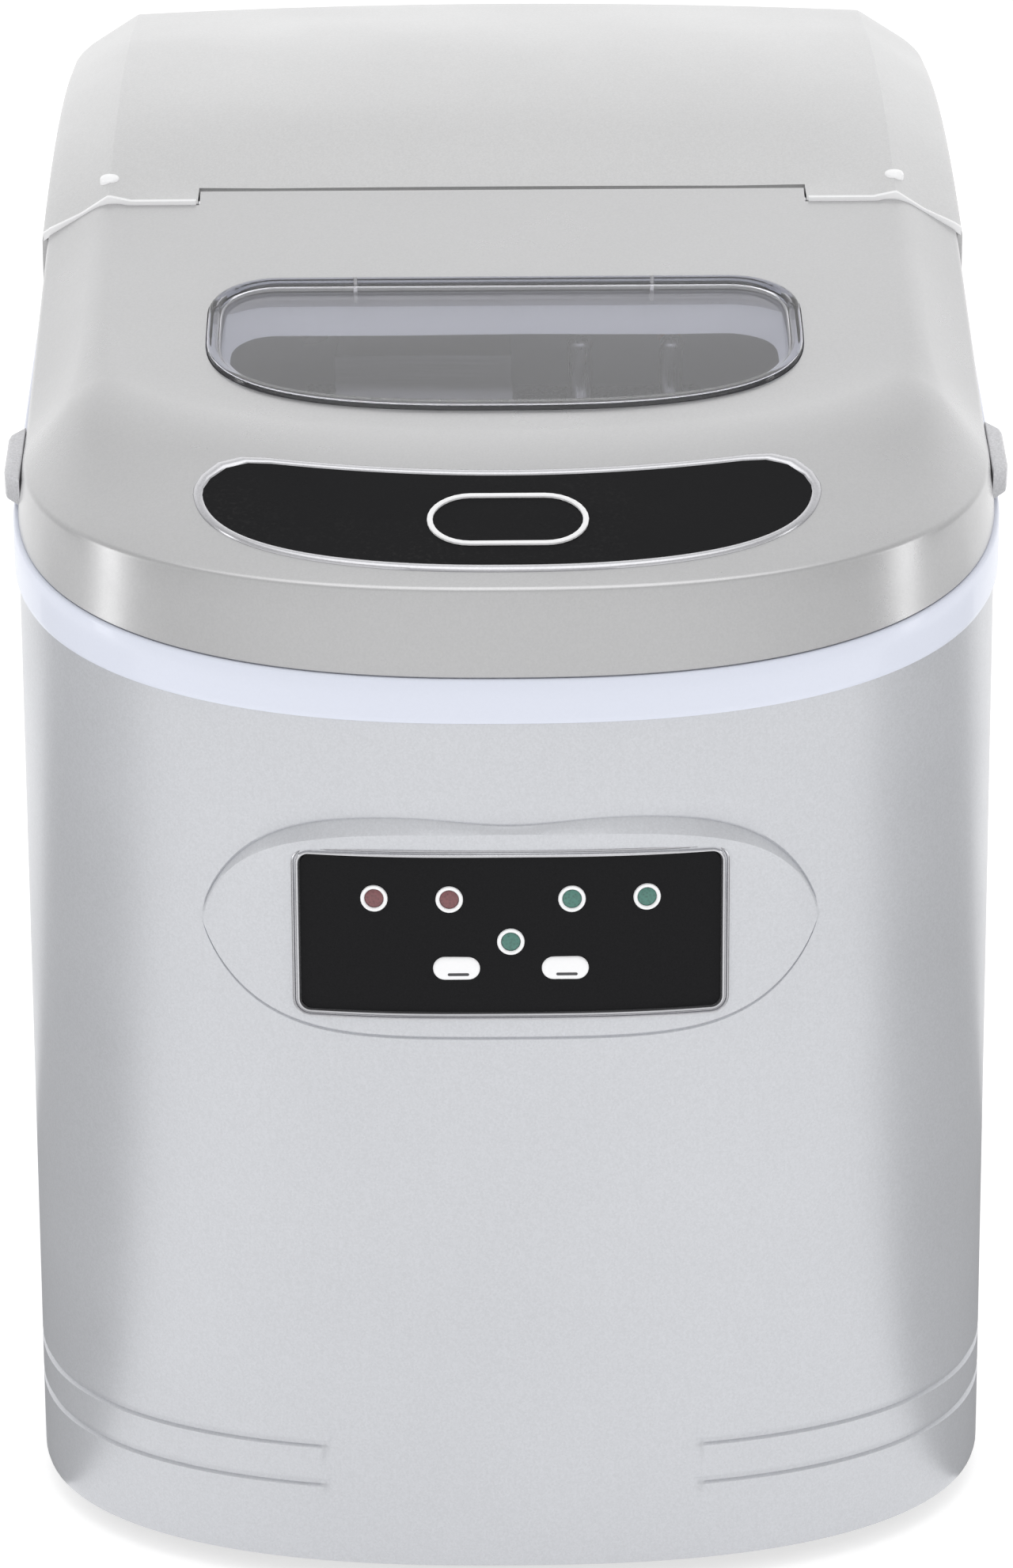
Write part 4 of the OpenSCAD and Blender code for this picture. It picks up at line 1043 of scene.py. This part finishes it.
def build_window_well():
    """White inner panel under the lid, with the well that runs down round the window, drawn in a light
    grey that paints in the well's shade.
    """
    well = [(2.2, -5.0), (2.0, -5.3), (1.9, -8.6), (1.7, -15.0)]
    inner = window_loops(well)
    points = [p for loop in inner for p in loop]
    cols = len(inner[0])
    faces = grid_faces(len(inner), cols, True)
    start = len(points)
    for loop in window_loops([(4.0, -5.0), (4.0, -13.0)]):
        points += loop
    faces += shifted(grid_faces(2, cols, True), start)
    faces += [(i, (i + 1) % cols, start + (i + 1) % cols, start + i) for i in range(cols)]
    rim = outline(HALF_W - 4.2, 5.4, BOW_DEPTH, SPLIT_Y - 4, BOW_N, 48)
    c = math.cos(LID_ANGLE)
    slope_rim = [(x, (y - SPLIT_Y) / c) for x, y in rim]
    for level, hole_grow in ((-15.0, 1.7), (-13.0, 4.0)):
        ring = [Vector((x, y, 0)) for x, y in slope_rim]
        hole = [Vector((x, y, 0)) for x, y in window_outline(hole_grow)]
        at = len(points)
        points += [on_lid(p.x, p.y, level) for p in ring + hole]
        faces += shifted(tessellate_polygon([ring, hole]), at)
    n = len(slope_rim)
    low = len(points) - 2 * (n + cols)
    high = low + n + cols
    for i in range(n):
        j = (i + 1) % n
        faces.append((low + i, low + j, high + j, high + i))
    obj = make_object("lid_inner_panel", points, faces, 5e-6)
    return finish_piece(obj, "lid", WELL_SHADE_GREY, ["lid_inner"], 35)


def build_window_lip():
    """White lip that slopes inwards round the foot of the window's well, with a faint painted glow."""
    profile = [
        (1.5, -8.7), (1.2, -8.6), (0.6, -8.9), (-3.2, -13.9), (-3.8, -14.9), (-3.4, -15.2),
        (1.5, -15.2),
    ]
    lip = loft("window_lip_edge", window_loops(profile))
    finish_piece(lip, "lid", LIP_GLOW_WHITE, [], 40)


def build_window_ribs():
    """Two short ribs under the back edge of the window."""
    y_mid = -(SPLIT_Y - 143) / math.cos(LID_ANGLE) - 1.4
    for side in (-1, 1):
        loops = []
        for h, share in ((-2.95, 0.75), (-3.2, 1.0), (-5.6, 1.0), (-5.9, 0.75)):
            ring = capsule_loop(3.2, 1.0, 5)
            loops.append([on_lid(side * 37 + y * share, y_mid + x * share, h) for x, y in ring])
        rib = loft("window_rib", loops, 2)
        finish_piece(rib, "lid", CAP_WHITE, [], 40)


# ---- Badge ----


def badge_back(x):
    """Depth of the badge's hollowed back edge."""
    return 46.1 + 8.5 * (x / 63) ** 2


def badge_loop(grow):
    """Plan of the badge: bowed at the front, hollowed at the back, with pointed ends."""
    end = 71.5 + grow
    steps = 72
    loop = []
    for i in range(steps + 1):
        loop.append(bow_point(180 + 180 * i / steps, end, 12.8 - grow, 47 + grow / 2, 2.3))
    half = end - 5
    for i in range(25):
        x = half * (1 - i / 12)
        loop.append((x, badge_back(x) + grow))
    return round_corners(loop, 2)


def round_corners(loop, passes):
    """Averages a closed outline's points with their neighbours, to ease its corners."""
    n = len(loop)
    for _ in range(passes):
        loop = [
            tuple((loop[i - 1][k] + 2 * loop[i][k] + loop[(i + 1) % n][k]) / 4 for k in (0, 1))
            for i in range(n)
        ]
    return loop


def drop(surface, x, y, above):
    """A point above the lid's outside, measured square to it."""
    start = place(x, y, TOP_H + 20)
    hit, normal, _, _ = surface.ray_cast(start, Vector((0, 0, -1)))
    if hit is None:
        hit, normal, _, _ = surface.find_nearest(place(x, y, crease(y)))
    if normal.z < 0:
        normal = -normal
    return hit + normal * above * MM


def build_badge(surface):
    """Silver bezel and black plate that follow the lid's forehead."""
    profile = [
        (2.5, -0.6), (2.5, 0.15), (2.1, 0.5), (1.2, 0.62), (0.5, 0.55), (0.05, 0.15), (0.0, -0.6),
    ]
    loops = [[drop(surface, x, y, h) for x, y in badge_loop(g)] for g, h in profile]
    bezel = loft("badge_rim", loops)
    finish_piece(bezel, "lid", TRIM_SILVER, ["badge_bezel"], 50)
    build_badge_plate(surface)


def build_badge_plate(surface):
    """Filled by shrinking its outline towards its middle line."""
    loop = badge_loop(0.15)
    shrink = [1.0, 0.97, 0.9, 0.8, 0.65, 0.5, 0.35, 0.2, 0.07]
    loops = [[drop(surface, x, y, -0.6) for x, y in loop]]
    for share in shrink:
        ring = []
        for x, y in loop:
            mx = x * (0.86 + 0.14 * share)
            my = middle_line(mx)
            ring.append(drop(surface, mix(mx, x, share), mix(my, y, share), 0.3))
        loops.append(ring)
    plate = loft("badge_plate_black", loops, 1)
    return finish_piece(plate, "lid", GLOSS_BLACK, ["badge_plate"], 50)


def middle_line(x):
    """Depth of the middle of the badge at a distance from its centre."""
    t = min(0.99, abs(x) / 71.6)
    front = 47 - 34.2 * (1 - t ** 2.3) ** (1 / 2.3)
    return (front + badge_back(x)) / 2


def capsule_loop(w, h, steps=16):
    """A bar with round ends, about its own middle."""
    reach = (w - h) / 2
    return arc(reach, 0, h / 2, -90, steps, 180) + arc(-reach, 0, h / 2, 90, steps, 180)


def build_emblem(surface):
    """Plain capsule outline on the badge."""
    profile = [(0.0, 0.2), (0.0, 0.75), (-0.25, 0.95), (-1.05, 0.95), (-1.3, 0.75), (-1.3, 0.2)]
    fall = math.cos(math.atan(0.376))
    loops = []
    for inset, above in profile:
        ring = capsule_loop(37.6 + 2 * inset, 20.4 + 2 * inset)
        loops.append([drop(surface, x, 29.4 + y * fall, above) for x, y in ring])
    obj = loft("badge_capsule", loops)
    return finish_piece(obj, "lid", CAP_WHITE, ["badge_emblem"], 40)


# ---- Rear cover ----


def cover_half(y):
    """Half width of the rear cover, which rounds off at the back."""
    start = BODY_D - BACK_R
    if y <= start:
        return HALF_W
    return HALF_W - BACK_R + math.sqrt(max(0.0, BACK_R ** 2 - (y - start) ** 2))


def cover_line(y, xs):
    """Heights of the rear cover's top at some distances from the middle."""
    line = sorted(p for p in cover_profile(y) if p[0] >= 0)
    found = []
    for x in xs:
        for (xa, za), (xb, zb) in zip(line, line[1:]):
            if xa <= x <= xb and xb > xa:
                found.append((x, mix(za, zb, (x - xa) / (xb - xa))))
                break
    return found


def cover_profile(y, drop_by=0.0):
    """Points over the rear cover from the left foot to the right foot, at one depth."""
    half = cover_half(y)
    fade = 1 - climb(y)
    crown = 2.4 * fade
    dip = 2.5 * smooth((y - SPLIT_Y - 0.6) / 10.6) * (1 - smooth((y - NOTCH_BACK) / 30))

    def height(x):
        x = abs(x)
        bevel = (cover_top(y) - cover_edge(y)) * max(0.0, x - FOLD_X) / (HALF_W - FOLD_X)
        ridge = 1.3 * climb(y) * max(0.0, 1 - abs(x - FOLD_X) / 6)
        low = drop_by + dip * (1 - smooth((x - 72) / 26))
        return cover_top(y) - crown * (x / FOLD_X) ** 2 - bevel + ridge - low

    foot = ring_low(y) + 0.3
    edge = height(half)
    right = [(half, foot), (half, mix(foot, edge, 0.5)), (half, edge - 1.2)]
    right += [(half - 0.1, edge - 0.6), (half - 0.4, edge - 0.15)]
    span = [0.93, 0.8, 0.6, 0.4, 0.2, 0.08]
    right += [(mix(FOLD_X, half, t), height(mix(FOLD_X, half, t))) for t in span]
    inner = [FOLD_X - 0.2, FOLD_X - 1.5, FOLD_X - 3, FOLD_X - 6, 90, TONGUE_HALF + 0.5, 60, 40, 20]
    right += [(x, height(x)) for x in inner]
    left = [(-x, z) for x, z in right]
    return left + [(0.0, height(0.0))] + right[::-1]


def build_cover():
    """Rear cover, notched for the lid's tongue and rounded down into the back."""
    depths = [SPLIT_Y + 0.6, 186, 190, NOTCH_BACK, 200, 210, 222, 236, 250, 264, 278, 290, 300, 310]
    depths += [320, BODY_D - BACK_R, 332, 335, 337.6]
    sections = [(y, 0.0) for y in depths]
    for k in range(1, 8):
        a = math.radians(90 * k / 7)
        sections.append((BODY_D - 5 + 5 * math.sin(a), 5 * (1 - math.cos(a))))
    profiles = [cover_profile(y, low) for y, low in sections]
    cols = len(profiles[0])
    points = []
    for (y, _), profile in zip(sections, profiles):
        points += [place(x, y, z) for x, z in profile]
    rows = len(sections)

    def skip(r, c):
        if r > 2:
            return False
        xs = [profiles[r][c][0], profiles[r][c + 1][0]]
        return max(abs(x) for x in xs) <= TONGUE_HALF + 0.6

    faces = grid_faces(rows, cols, False, skip)
    faces += end_faces(rows, cols)[1:]
    obj = make_object("rear_cover_top", points, faces)
    face_away(obj, (0, 262, 270))
    thicken(obj, 2.0, False)
    finish_piece(obj, "casing", COVER_SILVER, ["rear_cover"], 24)


def build_cover_bead():
    """White bead along the rear cover's front edge, on each side of the tongue."""
    parts = []
    y = SPLIT_Y + 0.3
    xs = [78.4, 84, 90, 95, 97, 99, 100.4, FOLD_X, 101.6, 104, 108, 112, 116, HALF_W - 0.4]
    section = [(0.0, -1.2), (-0.1, 0.75), (0.25, 1.1), (1.0, 1.1), (1.7, 0.6), (1.9, -1.2)]
    rows, cols = len(xs), len(section)
    for side in (-1, 1):
        points = []
        for x, z in cover_line(SPLIT_Y + 0.6, xs):
            points += [place(side * x, y + dy, z + dz) for dy, dz in section]
        parts.append((points, grid_faces(rows, cols, True) + end_faces(rows, cols)))
    obj = gather("cover_bead", parts)
    return finish_piece(obj, "casing", CAP_WHITE, [], 40)


def build_cover_webs():
    """Walls that close the rear cover's front on each side of the tongue."""
    parts = []
    for side in (-1, 1):
        xs = [78.0, 84, 90, 95, 98, FOLD_X, 106, 111, 115.2]
        top = cover_line(SPLIT_Y + 0.6, xs)
        foot = ring_high(SPLIT_Y) + 0.4
        points = []
        for y in (SPLIT_Y + 2.2, SPLIT_Y + 4.2):
            for share in (0.0, 1.0):
                points += [place(side * x, y, mix(z - 0.8, foot, share)) for x, z in top]
        n = len(xs)
        faces = grid_faces(2, n) + shifted(grid_faces(2, n), 2 * n)
        faces += [(i, i + 1, 2 * n + i + 1, 2 * n + i) for i in range(n - 1)]
        faces += [(n + i, n + i + 1, 3 * n + i + 1, 3 * n + i) for i in range(n - 1)]
        faces += [(0, n, 3 * n, 2 * n), (n - 1, 2 * n - 1, 4 * n - 1, 3 * n - 1)]
        parts.append((points, faces))
    obj = gather("cover_webs", parts)
    return finish_piece(obj, "casing", COVER_SILVER, [], 30)


def build_hinge_bay():
    """Bay behind and below the tongue, dark in its own shade: a floor and a back wall."""
    y0, y1 = SPLIT_Y + 0.6, NOTCH_BACK
    low, high = HINGE_Z - 8.5, cover_top(NOTCH_BACK) - 3.4
    half = TONGUE_HALF + 0.5
    lines = [(y0, low), (y1, low), (y1, high)]
    points = []
    for y, z in lines:
        points += [place(-half, y, z), place(half, y, z)]
    faces = grid_faces(3, 2)
    obj = make_object("hinge_bay", points, faces)
    face_away(obj, (0, 185, 305))
    obj.data.flip_normals()
    thicken(obj, 2.0)
    return finish_piece(obj, "casing", COVER_SILVER)


# ---- Control panel ----


def rounded_loop(w, h, r, steps=8, straight=24):
    """Rounded rectangle, with extra points on its long sides so that it can follow the bow."""
    loop = []
    corners = [(w / 2 - r, h / 2 - r, 0), (-w / 2 + r, h / 2 - r, 90)]
    corners += [(-w / 2 + r, -h / 2 + r, 180), (w / 2 - r, -h / 2 + r, 270)]
    for index, (cx, cy, start) in enumerate(corners):
        loop += arc(cx, cy, r, start, steps)
        if index in (0, 2):
            nx = corners[index + 1][0]
            y = loop[-1][1]
            loop += [(mix(loop[-1][0], nx, k / straight), y) for k in range(1, straight)]
    return loop


def on_bow(x, z, out):
    """A point in front of the bow, with its height measured from the panel's middle."""
    nx, ny, _ = panel_axis(x)
    return place(x + nx * out, bow_back(x) + ny * out, PANEL_Z + z)


def build_panel_frame():
    """Silver frame with a double line round the black face."""
    profile = [
        (0.0, -1.5), (0.0, 0.45), (-0.1, 0.8), (-0.35, 0.95), (-0.6, 0.75), (-0.7, 0.3), (-0.9, 0.25),
        (-1.0, 0.8), (-1.3, 1.05), (-1.65, 0.95), (-1.88, 0.4), (-1.95, -1.5),
    ]
    loops = []
    for inset, out in profile:
        ring = rounded_loop(FRAME_W + 2 * inset, FRAME_H + 2 * inset, 4.2 + inset)
        lift = 0.25 if out > 0 else 0.0
        loops.append([on_bow(x, z, out + lift * smooth(abs(x) / 30)) for x, z in ring])
    obj = loft("panel_frame", loops)
    return finish_piece(obj, "casing", TRIM_SILVER, ["panel_bezel"], 40)


def build_panel_face():
    """Black face that follows the bow, drawn as columns between its rounded ends."""
    half, high, r = PANEL_W / 2, PANEL_H / 2, 3.0
    xs = [half - r + r * math.sin(math.radians(90 * k / 8)) for k in range(9)]
    xs = [-x for x in reversed(xs)] + [mix(-half + r, half - r, k / 40) for k in range(1, 40)] + xs
    points = []
    for out in (0.3, -1.2):
        for level in (-1, -0.5, 0, 0.5, 1):
            for x in xs:
                over = max(0.0, abs(x) - (half - r))
                reach = high - r + math.sqrt(max(0.0, r * r - over * over))
                points.append(on_bow(x, level * reach, out))
    cols = len(xs)
    faces = grid_faces(5, cols)
    start = 5 * cols
    faces += shifted(grid_faces(5, cols), start)
    for c in range(cols - 1):
        faces.append((c, c + 1, start + c + 1, start + c))
        top = 4 * cols + c
        faces.append((top, top + 1, start + top + 1, start + top))
    obj = make_object("panel_face_black", points, faces)
    return finish_piece(obj, "casing", PANEL_BLACK, ["panel_face"], 50)


def set_out_tree():
    """Geometry nodes: a shape repeated on points, turned by the points' own turn attribute."""
    tree = bpy.data.node_groups.new("set_out", "GeometryNodeTree")
    new_socket = tree.interface.new_socket
    for label, kind in (("Points", "Geometry"), ("Shape", "Object"), ("Finish", "Material")):
        new_socket(label, in_out="INPUT", socket_type="NodeSocket" + kind)
    new_socket("Geometry", in_out="OUTPUT", socket_type="NodeSocketGeometry")
    given, out = tree.nodes.new("NodeGroupInput"), tree.nodes.new("NodeGroupOutput")
    shape = tree.nodes.new("GeometryNodeObjectInfo")
    turn = tree.nodes.new("GeometryNodeInputNamedAttribute")
    turn.data_type = "FLOAT_VECTOR"
    turn.inputs["Name"].default_value = "turn"
    copies = tree.nodes.new("GeometryNodeInstanceOnPoints")
    real = tree.nodes.new("GeometryNodeRealizeInstances")
    painted = tree.nodes.new("GeometryNodeSetMaterial")
    link = tree.links.new
    link(given.outputs["Points"], copies.inputs["Points"])
    link(given.outputs["Shape"], shape.inputs["Object"])
    link(shape.outputs["Geometry"], copies.inputs["Instance"])
    link(turn.outputs["Attribute"], copies.inputs["Rotation"])
    link(copies.outputs["Instances"], real.inputs["Geometry"])
    link(real.outputs["Geometry"], painted.inputs["Geometry"])
    link(given.outputs["Finish"], painted.inputs["Material"])
    link(painted.outputs["Geometry"], out.inputs["Geometry"])
    return tree


SET_OUT = set_out_tree()


def set_out(name, shape, matrices, material):
    """Repeats a shape with the tree above, and returns it as one plain mesh object."""
    mesh = bpy.data.meshes.new(name)
    mesh.from_pydata([m.to_translation() for m in matrices], [], [])
    turns = mesh.attributes.new("turn", "FLOAT_VECTOR", "POINT")
    for item, m in zip(turns.data, matrices):
        item.vector = m.to_euler()
    obj = new_object(name, mesh)
    modifier = obj.modifiers.new("set_out", "NODES")
    modifier.node_group = SET_OUT
    ids = {s.name: s.identifier for s in SET_OUT.interface.items_tree if s.in_out == "INPUT"}
    modifier[ids["Shape"]] = shape
    modifier[ids["Finish"]] = material
    bpy.context.view_layer.update()
    settle(obj)
    bpy.data.objects.remove(shape)
    return obj


def small_shape(name, profile, steps=32):
    """A turned shape about its own origin, in metres, for setting out."""
    points, faces = lathe(profile, steps, Matrix.Scale(MM, 4))
    return make_object(name, points, faces, 1e-7)


def build_lamps():
    """Two red and three green lamps, each in a white ring."""
    near, far = LED_X
    spots = [(x, LED_ROW) for x in (-far, -near, near, far)] + [(0.0, POWER_LED_ROW)]
    matrices = [standing(x, bow_back(x), PANEL_Z + row, panel_axis(x)) for x, row in spots]
    ring = [
        (2.25, -0.6), (3.2, -0.6), (3.2, 0.45), (3.05, 0.72), (2.75, 0.8), (2.45, 0.7), (2.25, 0.4),
    ]
    shape = make_open_ring("lamp_ring_shape", ring)
    rings = set_out("lamp_rings", shape, matrices, CAP_WHITE)
    finish_piece(rings, "casing", CAP_WHITE, ["led_rings"], 40)
    dome = [(2.2, -0.6), (2.2, 0.28), (1.9, 0.42), (1.3, 0.52), (0.6, 0.57), (0.05, 0.58)]
    red = set_out("red_lamps", small_shape("red_shape", dome, 24), matrices[:2], RED_LENS)
    finish_piece(red, "casing", RED_LENS, ["red_lenses"], 50)
    green = set_out("green_lamps", small_shape("green_shape", dome, 24), matrices[2:], GREEN_LENS)
    finish_piece(green, "casing", GREEN_LENS, ["green_lenses"], 50)


def make_open_ring(name, profile, steps=40):
    """A turned ring with a hole through it, in metres, for setting out."""
    points = [p * MM for p in turned(profile + profile[:1], steps)]
    return make_object(name, points, grid_faces(len(profile) + 1, steps, True), 1e-7)


def build_button(side, name, body):
    """Pill button with a soft edge and a small dark mark let into its lower half."""
    matrix = standing(side * BUTTON_X, bow_back(BUTTON_X), PANEL_Z + BUTTON_ROW, (0, -1, 0))
    rows = [(0.0, -3.0), (0.0, 0.3), (-0.15, 0.6), (-0.5, 0.82), (-1.2, 0.9), (-2.2, 0.9)]
    loops = []
    for inset, h in rows:
        ring = capsule_loop(11 + 2 * inset, 5.6 + 2 * inset, 14)
        loops.append([matrix @ Vector((x, y, h)) for x, y in ring])
    obj = loft(name, loops, 2)
    finish_piece(obj, body, CAP_WHITE, [body], 50)
    mark = capsule_loop(5.0, 0.7, 6)
    loops = [[matrix @ Vector((x + 0.4, y - 1.35, h)) for x, y in mark] for h in (0.7, 0.93)]
    dash = loft(name + "_mark", loops, 2)
    return finish_piece(dash, body, DARK, [], 40)


# ---- Small outside pieces ----


def build_grips():
    """Finger grip on each side of the lid, chamfered at its ends."""
    slope = math.atan(RING_HIGH_SLOPE)
    c, s = math.cos(slope), math.sin(slope)
    base_z = ring_high(92) + 3
    plan = [(0.0, 78.0), (2.6, 82.0), (3.0, 84), (3.0, 100), (2.6, 102.0), (0.0, 106.0)]
    levels = [(-1.5, 0.6), (-0.9, 0.0), (5.2, 0.0), (5.8, 0.6)]
    rows, cols = len(levels), len(plan)
    parts = []
    for side in (-1, 1):
        points = []
        for lift, inset in levels:
            for out, y in plan:
                out = max(-1.0, out - inset if out > 0 else -1.0)
                along = y - 92
                spot = (92 + along * c - lift * s, base_z + along * s + lift * c)
                points.append(place(side * (HALF_W + 0.05 + out), *spot))
        parts.append((points, grid_faces(rows, cols, True) + end_faces(rows, cols)))
    obj = gather("lid_grip_pads", parts)
    soften(obj, 0.5, 3, 30)
    return finish_piece(obj, "lid", GRIP_GREY, ["lid_grips"], 50)


def build_cover_caps():
    """Caps over the rear cover's two screws."""
    y = SPLIT_Y + 11
    profile = [(2.5, -1.0), (2.5, 0.5), (2.3, 0.85), (1.6, 1.05), (0.05, 1.1)]
    matrices = [standing(s * FOLD_X, y, cover_top(y) - 0.2, (0, -0.25, 1), (0, 1, 0)) for s in (-1, 1)]
    caps = set_out("cover_caps", small_shape("cap_shape", profile, 24), matrices, CAP_WHITE)
    return finish_piece(caps, "casing", CAP_WHITE, ["cover_screw_caps"], 50)


def build_feet():
    """Rubber feet with a foot ring and a hollow for the screw."""
    profile = [
        (5.0, 0.0), (9.2, 0.0), (9.8, 0.25), (10.0, 0.8), (10.4, 2.0), (10.8, 4.0), (10.9, 5.0),
        (2.2, 5.0), (2.2, 2.0), (5.0, 2.0),
    ]
    matrices = []
    for side in (-1, 1):
        for y in (48.0, BODY_D - 40):
            matrices.append(standing(side * (HALF_W - 30), y, 0, (0, 0, 1), (0, 1, 0)))
    feet = set_out("rubber_feet", make_open_ring("foot_shape", profile), matrices, RUBBER)
    return finish_piece(feet, "casing", RUBBER, ["feet"], 40)


def build_drain_cap():
    """Round cap with a grip bar across it."""
    matrix = standing(HALF_W - 1.5, 120, 55, (1, 0, 0))
    profile = [
        (4.9, -8.0), (4.9, 0.5), (11.6, 0.6), (12.0, 1.0), (12.0, 1.9), (11.7, 2.3), (10.8, 2.55),
        (9.6, 2.4), (0.05, 2.3),
    ]
    round_part = lathe(profile, 64, matrix)
    bar = []
    for h, inset in ((1.0, 0.0), (4.0, 0.15), (4.4, 0.6)):
        ring = capsule_loop(16 - 2 * inset, 3.2 - 2 * inset, 8)
        bar += [matrix @ Vector((x, y, h)) for x, y in ring]
    cols = len(bar) // 3
    bar_faces = grid_faces(3, cols, True) + end_faces(3, cols)
    obj = gather("drain_cap_grip", [round_part, (bar, bar_faces)])
    return finish_piece(obj, "drain_cap", GRIP_GREY, ["drain_cap"], 40)


# ---- Light, floor and camera ----


def make_stage():
    """Plain pale floor with a little glow of its own."""
    points = [(-6, -4, 0), (6, -4, 0), (6, 6, 0), (-6, 6, 0)]
    mesh = bpy.data.meshes.new("floor")
    mesh.from_pydata(points, [], [(0, 1, 2, 3)])
    floor = new_object("floor", mesh)
    material, tree, shader = new_material(
        "pale_floor", Roughness=0.9, Emission_Strength=FLOOR_GLOW
    )
    grain = noise(tree, object_coords(tree), 300.0, 2.0)
    base = blend_colour(tree, grain, (0.52, 0.52, 0.52, 1), (0.54, 0.54, 0.54, 1))
    feed(tree, shader, Base_Color=base, Emission_Color=base)
    mesh.materials.append(material)


def soft_light(name, place_at, aim, size, power):
    light = bpy.data.lights.new(name, "AREA")
    light.shape = "RECTANGLE"
    light.size, light.size_y = size
    light.energy = power
    obj = new_object(name, light)
    obj.location = place_at
    way = Vector(aim) - Vector(place_at)
    obj.rotation_euler = way.to_track_quat("-Z", "Y").to_euler()


def make_flag(name, side):
    """Dark card on the floor beside the machine, seen only in its glossy sides."""
    plan = [(0.112, -0.115), (1.5, -0.60), (1.5, 0.75), (0.122, 0.12), (0.122, -0.08)]
    mesh = bpy.data.meshes.new(name)
    mesh.from_pydata([(side * x, y, 0.002) for x, y in plan], [], [(0, 1, 2, 3, 4)])
    flag = new_object(name, mesh)
    material, tree, shader = new_material("flag_cloth", Roughness=1.0, Specular_IOR_Level=0.0)
    weave = noise(tree, object_coords(tree), 400.0)
    base = blend_colour(tree, weave, (0.30, 0.30, 0.30, 1), (0.34, 0.34, 0.34, 1))
    feed(tree, shader, Base_Color=base)
    mesh.materials.append(material)
    flag.visible_camera = False
    flag.visible_diffuse = False
    flag.visible_transmission = False
    flag.visible_shadow = False


def make_world():
    """Even white surround, a little brighter behind and darker to each side."""
    world = bpy.data.worlds.new("studio")
    world.use_nodes = True
    tree = world.node_tree
    sky = add_node(tree, "ShaderNodeTexCoord").outputs["Generated"]
    way = add_node(tree, "ShaderNodeSeparateXYZ", Vector=sky).outputs
    behind = math_node(tree, "MULTIPLY", ramp(tree, way["Y"], 0.0, 1.0), BACK_BOOST)
    aside = math_node(tree, "POWER", math_node(tree, "ABSOLUTE", way["X"], 0.0), 3.0)
    aside = math_node(tree, "MULTIPLY", aside, SIDE_SHADE)
    high = math_node(tree, "MULTIPLY", ramp(tree, way["Z"], 0.62, 0.86), HIGH_SHADE)
    above = math_node(tree, "MULTIPLY", ramp(tree, way["Z"], 0.9, 0.97), TOP_BOOST)
    level = math_node(tree, "SUBTRACT", math_node(tree, "ADD", behind, SURROUND), aside)
    level = math_node(tree, "ADD", math_node(tree, "SUBTRACT", level, high), above)
    feed(tree, tree.nodes["Background"], Color=(1.0, 1.0, 1.0, 1), Strength=level)
    bpy.context.scene.world = world


def make_light():
    make_world()
    make_flag("left_flag", -1)
    make_flag("right_flag", 1)
    soft_light("left_strip", (-1.66, -0.35, 0.6), (0, 0, 0.25), (0.26, 1.0), 2.6)
    soft_light("right_strip", (1.66, -0.35, 0.6), (0, 0, 0.25), (0.26, 1.0), 2.0)
    bpy.context.scene.view_settings.view_transform = "Standard"


def make_camera():
    """Camera in front of the machine, a little above it."""
    data = bpy.data.cameras.new("camera")
    data.lens = CAMERA_LENS
    data.sensor_width = 36.0
    data.clip_start = 0.05
    data.clip_end = 50.0
    camera = new_object("camera", data)
    aim = Matrix.Rotation(math.pi / 2 - CAMERA_PITCH, 4, "X") @ Matrix.Rotation(CAMERA_ROLL, 4, "Z")
    camera.matrix_world = (
        Matrix.Rotation(CAMERA_TURN, 4, "Z") @ Matrix.Translation(Vector(CAMERA_AT)) @ aim
    )
    bpy.context.scene.camera = camera


# ---- Making ----

dress_cad_nodes()
build_casing()
build_ring()
build_tank()
lid_surface = build_lid()
build_window()
build_window_well()
build_window_lip()
build_window_ribs()
build_badge(lid_surface)
build_emblem(lid_surface)
build_cover()
build_hinge_bay()
build_cover_bead()
build_cover_webs()
build_panel_frame()
build_panel_face()
build_lamps()
build_button(-1, "power_pill", "power_button")
build_button(1, "select_pill", "select_button")
build_grips()
build_cover_caps()
build_feet()
build_drain_cap()
make_stage()
make_light()
make_camera()
